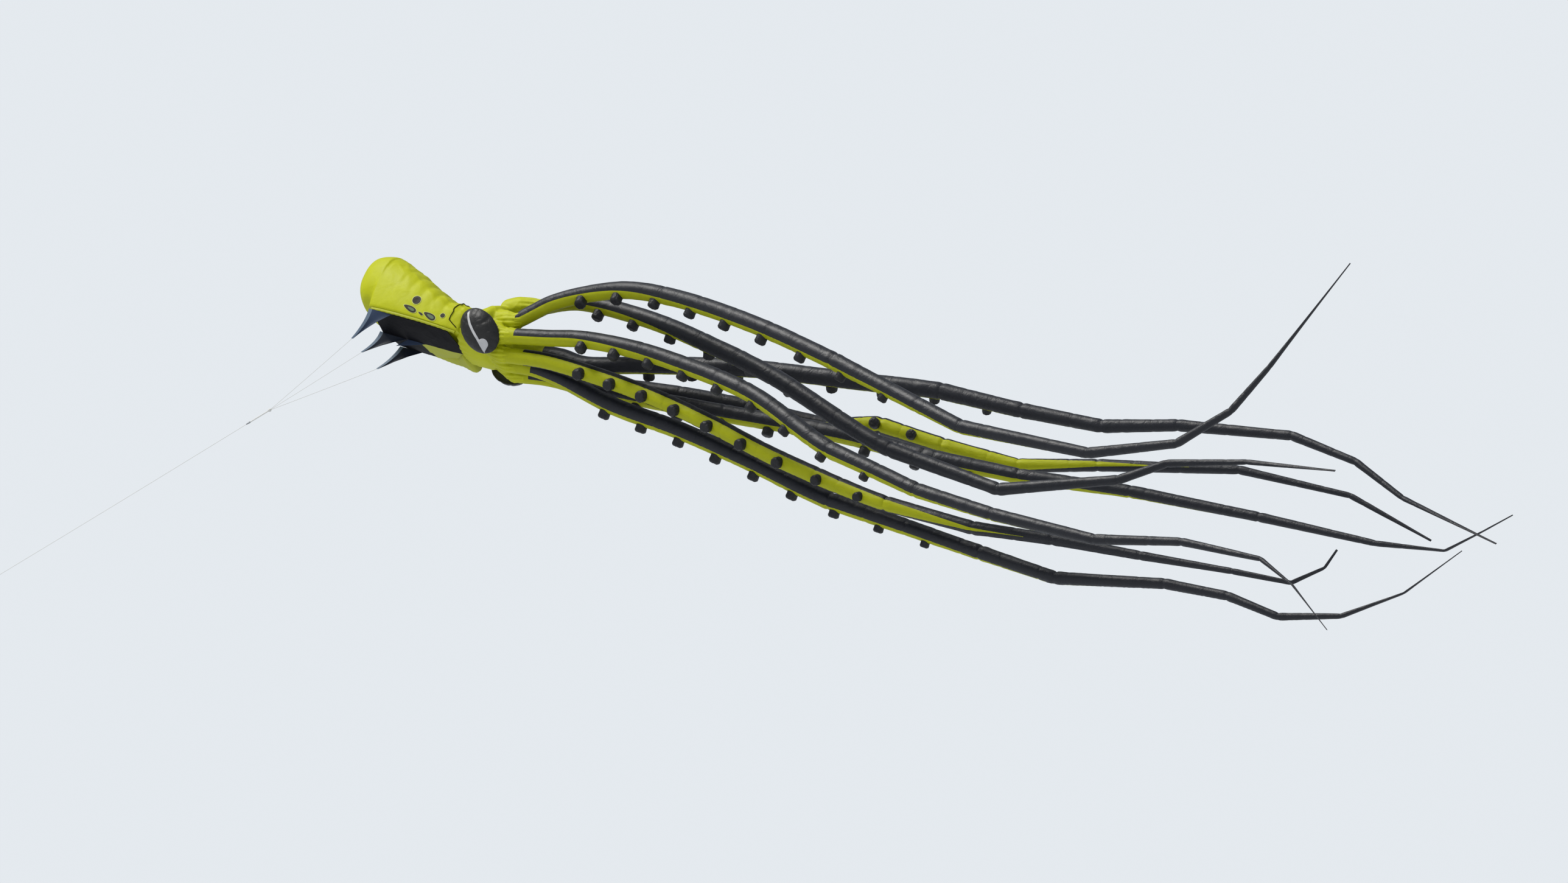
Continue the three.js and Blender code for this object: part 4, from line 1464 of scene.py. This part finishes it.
# ------------------------------------------------------------------ head and eyes
@dataclass
class Head:
    """The head: one gathered skin that runs out into the roots of the arms."""

    arms: list[Arm]
    squareness: float = 2.05
    stations: tuple[Station, ...] = (
        (1.150, 0.02, 0.10, 0.14), (1.151, 0.30, -0.06, 0.28), (1.165, 0.385, -0.100, 0.345),
        (1.205, 0.420, -0.128, 0.384), (1.340, 0.462, -0.140, 0.470), (1.430, 0.485, -0.132, 0.530),
        (1.500, 0.462, -0.108, 0.560), (1.550, 0.400, -0.050, 0.530), (1.590, 0.290, 0.050, 0.450),
        (1.605, 0.150, 0.140, 0.350), (1.607, 0.020, 0.220, 0.270))
    palm: float = 0.260
    stub_inside: float = 0.40
    stub_length: float = 0.515
    fineness: float = 0.013

    def balloon(self) -> bpy.types.Object:
        """Adds the head's own closed balloon."""
        def place(a: float, b: float) -> Point:
            """A point of the balloon, round it and along it."""
            x, half, low, high = section_at(self.stations, b)
            angle = 2 * math.pi * a
            y = half * bulged(math.sin(angle), self.squareness)
            z = (low + high) / 2 + (high - low) / 2 * bulged(math.cos(angle), self.squareness)
            return (x, y, z)
        balloon = laid_grid("head_skin", (72, 50), place)
        sew_up(balloon)
        into_kite(balloon)
        return balloon

    def stub(self, arm: Arm) -> bpy.types.Object:
        """Adds the flared root of an arm, from inside the head to its seam.

        Args:
            arm: The arm.

        Returns:
            The root, which becomes part of the head's skin.
        """
        def place(a: float, b: float) -> Vector:
            """A point of the root, round it and along it."""
            s = -self.stub_inside + self.stub_length * b
            along, side, up = arm.axes(max(0.0, s))
            at = arm.at(max(0.0, s))
            if s < 0:
                back = (-s / self.stub_inside) ** 1.4
                across = 1 - 0.45 * back
                lift = 1 - (0.36 if arm.ring[1] > self.palm else 0.66) * back
                at = BODY @ Vector((ARM_RING_X + s, arm.ring[0] * across,
                                    self.palm + (arm.ring[1] - self.palm) * lift))
            radius = 0.088 + 0.055 * (1 - ease(s, -0.32, 0.07))
            angle = 2 * math.pi * a
            return at + side * radius * math.cos(angle) + up * radius * math.sin(angle)
        stub = laid_grid(f"{arm.name}_stub", (28, 16), place)
        sew_up(stub)
        return stub

    def swelling(self, pad: "EyePad") -> bpy.types.Object:
        """Adds the swelling of the cheek on which an eye pad sits."""
        clear_selection()
        bpy.ops.mesh.primitive_uv_sphere_add(segments=32, ring_count=16, radius=1.0)
        cheek = bpy.context.object
        for vertex in cheek.data.vertices:
            x, y, z = vertex.co
            vertex.co = pad.lay(0.235 * x, 0.170 * z, -0.075 + 0.072 * y)
        sew_up(cheek)
        into_kite(cheek)
        return cheek

    def gather(self, skin: bpy.types.Object) -> None:
        """Presses the radiating gathers round each arm's root, and soft folds elsewhere."""
        roots = [(arm.at(0.0), *arm.axes(0.02)) for arm in self.arms]
        inverse = BODY.inverted()
        normals = [v.normal.copy() for v in skin.data.vertices]
        for vertex, normal in zip(skin.data.vertices, normals):
            here = inverse @ vertex.co
            out = 0.0
            for k, (at, along, side, up) in enumerate(roots):
                rel = vertex.co - at
                s = rel.dot(along)
                away = rel - along * s
                if -0.30 < s < 0.16 and away.length < 0.30:
                    angle = math.atan2(away.dot(up), away.dot(side))
                    strength = ease(s, -0.30, -0.04) * (1 - ease(s, 0.06, 0.15))
                    strength *= 1 - ease(away.length, 0.13, 0.30)
                    fold = abs(math.sin(5.5 * angle + 1.3 * k + 9 * s)) - 0.5
                    out += 0.016 * strength * fold
            out += 0.007 * crease((here.x * 5, here.y * 4, here.z * 5), 5)
            round_neck = math.cos(26 * math.atan2(here.z - 0.13, here.y))
            out += 0.005 * round_neck * (1 - ease(here.x, 1.20, 1.36))
            vertex.co += normal * out
        skin.data.update()

    def build(self, wardrobe: Wardrobe) -> None:
        """Adds the head's skin."""
        parts = [self.balloon(), *[self.stub(arm) for arm in self.arms],
                 *[self.swelling(EyePad(side)) for side in Side]]
        skin = join(parts, "head_skin")
        take(skin)
        remesh = skin.modifiers.new("one_skin", "REMESH")
        remesh.mode = "VOXEL"
        remesh.voxel_size = self.fineness
        relax = skin.modifiers.new("relaxed", "SMOOTH")
        relax.factor = 0.5
        relax.iterations = 9
        apply_modifiers(skin)
        self.gather(skin)
        smooth(skin, 70)
        wardrobe.dress(skin, "yellow_ripstop")
        ride(skin, "yellow_cloth", "head", "rear_bulkhead")


@dataclass
class EyePad:
    """A padded black eye with its silver mark."""

    side: Side
    x: float = 1.520
    z: float = 0.060
    long: float = 0.304
    high: float = 0.222
    thick: float = 0.112
    tilt: float = math.radians(32)
    tuck: float = math.radians(24)
    seat: float = 0.476
    fineness: float = 0.009
    frames: int = 20
    most_moved: float = 0.015
    stripe: float = 0.016
    bulb: tuple[float, float] = (0.183, -0.040)
    bulb_radius: float = 0.060
    mark_proud: float = 0.0035
    mark_thickness: float = 0.0024

    def lay(self, u: float, v: float, out: float) -> Vector:
        """A point by its place along and up the pad's face, and out of it."""
        point = Vector((u, self.side.value * out, v))
        point = Matrix.Rotation(self.tilt, 3, "Y") @ point
        point = Matrix.Rotation(-self.side.value * self.tuck, 3, "X") @ point
        return point + Vector((self.x, self.side.value * self.seat, self.z))

    def crown(self, r: float, t: float) -> float:
        """The height of the padding.

        Args:
            r: Share of the pad's radius.
            t: Angle round the pad.

        Returns:
            The height over the pad's seat.
        """
        dome = max(0.0, 1 - r ** 2.6) ** 0.62
        fold = max(0.0, math.sin(13 * t + 2.4 * math.sin(2 * t))) ** 2
        pull = 0.060 * fold * ease(r, 0.35, 0.8) * (1 - 0.6 * ease(r, 0.9, 1.0))
        u, v = r * math.cos(t), r * math.sin(t)
        quilt = 0.09 * crease((u * 2.6, v * 2.0, 5 + self.side.value), 3)
        return self.thick * (dome - pull * 0.8 - quilt * (1 - r * 0.4))

    def puff(self, pad: bpy.types.Object) -> None:
        """Blows the pad's cloth up with a short cloth simulation, held at its sewn rim."""
        even = pad.modifiers.new("even_cloth", "REMESH")
        even.mode = "VOXEL"
        even.voxel_size = self.fineness
        apply_modifiers(pad)
        origin = self.lay(0, 0, 0)
        outward = (self.lay(0, 0, 1) - origin).normalized()
        rim = pad.vertex_groups.new(name="rim")
        rim.add([v.index for v in pad.data.vertices if (v.co - origin).dot(outward) < 0.006],
                1.0, "REPLACE")
        before = [v.co.copy() for v in pad.data.vertices]
        take(pad)
        bpy.ops.object.modifier_add(type="CLOTH")
        cloth = pad.modifiers[-1]
        cloth.settings.quality = 6
        cloth.settings.mass = 0.06
        cloth.settings.tension_stiffness = 14
        cloth.settings.compression_stiffness = 10
        cloth.settings.bending_stiffness = 0.25
        cloth.settings.use_pressure = True
        cloth.settings.uniform_pressure_force = 4
        cloth.settings.effector_weights.gravity = 0
        cloth.settings.vertex_group_mass = "rim"
        cloth.collision_settings.use_collision = False
        cloth.point_cache.frame_start, cloth.point_cache.frame_end = 1, self.frames
        for frame in range(1, self.frames + 1):
            bpy.context.scene.frame_set(frame)
        bpy.ops.object.modifier_apply(modifier=cloth.name)
        bpy.context.scene.frame_set(1)
        farthest = 0.0
        for vertex, rest in zip(pad.data.vertices, before):
            moved = vertex.co - rest
            farthest = max(farthest, moved.length)
            if moved.length > self.most_moved:
                vertex.co = rest + moved.normalized() * self.most_moved
        pad.vertex_groups.clear()
        relax = pad.modifiers.new("relaxed", "SMOOTH")
        relax.factor, relax.iterations = 0.35, 2
        apply_modifiers(pad)
        LOG.info("%s: the cloth moved %.1f mm at most", pad.name, farthest * 1000)

    def build(self, wardrobe: Wardrobe) -> None:
        """Adds the pad and the mark that is sewn onto it."""
        def place(a: float, b: float) -> Vector:
            """A point of the pad, round it and from its middle over the rim to its back."""
            t = 2 * math.pi * a
            if b <= 0.8:
                r = b / 0.8
                return self.lay(self.long * r * math.cos(t), self.high * r * math.sin(t),
                                self.crown(r, t))
            back = (b - 0.8) / 0.2
            r = 1 - back
            return self.lay(self.long * r * math.cos(t), self.high * r * math.sin(t),
                            -0.045 * ease(back, 0.0, 0.5))
        pad = laid_grid(f"{self.side.word}_eye", (120, 50), place, (1.6, 0.6))
        sew_up(pad)
        self.puff(pad)
        surface = surface_of(pad)
        wardrobe.hang_up(pad, ["black_pad_ripstop"], "eye_cloth", f"{self.side.word}_eye_pad",
                         sharp=60)
        self.mark(wardrobe, surface)

    def mark(self, wardrobe: Wardrobe, surface: BVHTree) -> None:
        """Adds the silver mark: a narrow bent stripe that ends in a round bulb."""
        spine = [(-0.240, 0.058), (-0.170, 0.022), (-0.100, -0.006), (-0.010, -0.028),
                 (0.080, -0.044), (0.140, -0.060), (0.195, -0.082), (0.243, -0.106)]
        half, bulb, reach = self.stripe, self.bulb, self.bulb_radius

        def place(a: float, b: float) -> Vector:
            """A point of the mark, across and along it."""
            t = b * (len(spine) - 1)
            i = min(len(spine) - 2, int(t))
            u, v = (p + (q - p) * (t - i) for p, q in zip(spine[i], spine[i + 1]))
            top = v + half
            if abs(u - bulb[0]) < reach:
                top = max(top, bulb[1] + math.sqrt(reach ** 2 - (u - bulb[0]) ** 2))
            v += -half + (top - v + half) * a
            aim = (self.lay(u, v, 0.0) - self.lay(u, v, 1.0)).normalized()
            hit = surface.ray_cast(self.lay(u, v, 0.5), aim)[0]
            if hit is None:
                hit = surface.find_nearest(self.lay(u, v, 0.05))[0]
            return hit - aim * self.mark_proud
        mark = laid_grid(f"{self.side.word}_eye_mark", (14, 90), place, (0.05, 0.5))
        thicken(mark, self.mark_thickness)
        wardrobe.hang_up(mark, ["silver_cloth"], "eye_cloth", sharp=60)


ARMS = [
    Arm("port_upper_arm", (-0.335, 0.330), [
        (250, -20, 70), (480, -60, 110), (850, -100, 110), (1440, -200, 0), (2010, -260, -240),
        (3160, -520, -1000), (4210, -680, -1800), (5860, -920, -3150), (7510, -1160, -3980),
        (8660, -1340, -4200), (9360, -1440, -3980), (9860, -1520, -3560), (10910, -1660, -2500)],
        roll=(22, -12), dark_from=0.0, first=0.91, pitch=0.50, growth=0.030),
    Arm("top_arm", (-0.040, 0.683), [
        (460, -20, -40), (810, -40, -180), (1520, -70, -570), (2150, -110, -1010),
        (2950, -140, -1620), (4450, -230, -2970), (5800, -300, -3820), (7300, -380, -4060),
        (7900, -410, -3990), (8900, -470, -4220), (10000, -540, -4610)],
        roll=(4, -80), rolls_at=(0.9, 3.4), dark_from=0.0, first=0.85, pitch=0.50,
        growth=0.030, suckers=8),
    Arm("port_side_arm", (-0.400, 0.110), [
        (540, -20, -160), (950, -50, -280), (1520, -90, -530), (2080, -130, -840),
        (3160, -260, -1600), (4160, -350, -2600), (5260, -450, -3420), (6210, -530, -3980),
        (7510, -660, -4660), (8610, -760, -4980), (9610, -850, -5470), (10010, -900, -5920),
        (10460, -1000, -6650)], roll=(18, -8), first=1.07, pitch=0.46, growth=0.031),
    Arm("port_lower_arm", (-0.245, -0.060), [
        (530, 0, -200), (930, 20, -400), (1780, 70, -890), (2530, 110, -1410), (3280, 150, -1980),
        (4630, 230, -2850), (5680, 270, -3370), (6630, 320, -3700), (7680, 370, -4110),
        (8780, 430, -4520), (9480, 470, -4800), (9880, 490, -4680), (10030, 500, -4470)],
        roll=(50, 52), face=56, dark_from=0.28, first=1.08, pitch=0.43, growth=0.022),
    Arm("bottom_arm", (-0.020, -0.070), [
        (280, 10, -110), (600, 30, -300), (1240, 70, -780), (2040, 150, -1240), (2890, 210, -1810),
        (3840, 270, -2490), (5640, 380, -3500), (6540, 430, -4000), (7840, 510, -4310),
        (8590, 550, -4610), (9190, 590, -4990), (9940, 630, -5120), (10690, 670, -4960),
        (11390, 700, -4540)],
        roll=(-18, -20), dark_from=0.28, first=1.41, pitch=0.50, growth=0.019),
    Arm("starboard_upper_arm", (0.300, 0.280), [
        (350, 0, -150), (600, 20, -290), (1430, 100, -440), (2530, 190, -670), (3930, 310, -1090),
        (4880, 390, -1380), (5830, 480, -1790), (6780, 560, -2160), (7680, 640, -2300),
        (9030, 750, -2670), (9780, 810, -3140), (10330, 860, -3710), (11430, 950, -4500)],
        roll=(-40, -62), first=0.95, pitch=0.50, growth=0.026),
    Arm("starboard_side_arm", (0.375, 0.060), [
        (300, 130, -80), (600, 230, -160), (1770, 420, -490), (2570, 550, -770),
        (3420, 730, -1080), (4020, 840, -1150), (4720, 1000, -1480), (5570, 1180, -1830),
        (6470, 1380, -1910), (8070, 1730, -2130), (9320, 2010, -2590), (10220, 2230, -3260)],
        roll=(-8, 76), rolls_at=(3.0, 4.3), face=54, first=0.95, pitch=0.47, growth=0.0,
        yellow_to=0.72),
    Arm("starboard_lower_arm", (0.205, -0.085), [
        (380, 60, -100), (690, 130, -220), (2140, 340, -740), (3840, 580, -1330),
        (4740, 700, -1730), (5840, 860, -2140), (7140, 1040, -2530), (8640, 1230, -3090),
        (9990, 1410, -3630), (10790, 1520, -3840), (11240, 1560, -3660), (11590, 1600, -3500)],
        roll=(-12, -10), yellow_to=0.70, first=1.00, pitch=0.50, growth=0.025),
]


def main() -> None:
    """Loads the frame and builds every sub-assembly."""
    logging.basicConfig(level=logging.INFO, format="%(message)s")
    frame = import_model()
    wardrobe = Wardrobe()
    studio = Studio()
    studio.camera()
    Lines().build(wardrobe, frame["nodes"])
    mantle = Mantle()
    mantle.build(wardrobe)
    Belly(mantle).build(wardrobe)
    for side in Side:
        # painted light: the port keel's web takes the navy painted lighter as if lit through from
        # behind; the starboard web keeps the plain navy
        Keel(f"{side.word}_keel", 0.012, 0.330, (-0.085, -0.420), SIDE_KEEL_ROOT,
             y=side.value * SIDE_KEEL_Y, cant=-side.value * SIDE_KEEL_CANT,
             web="slate_ripstop" if side is Side.PORT else "navy_ripstop").build(wardrobe)
    Keel("centre_keel", -0.020, 0.385, (-0.130, -0.400), RIDGE_Z).build(wardrobe)
    Gusset().build(wardrobe)
    sucker = Sucker()
    sucker.build(wardrobe)
    for arm in ARMS:
        arm.build(wardrobe, sucker)
    sucker.put_away()
    Head(ARMS).build(wardrobe)
    for side in Side:
        EyePad(side).build(wardrobe)
    studio.floor()
    studio.light()


if __name__ == "__main__":
    main()
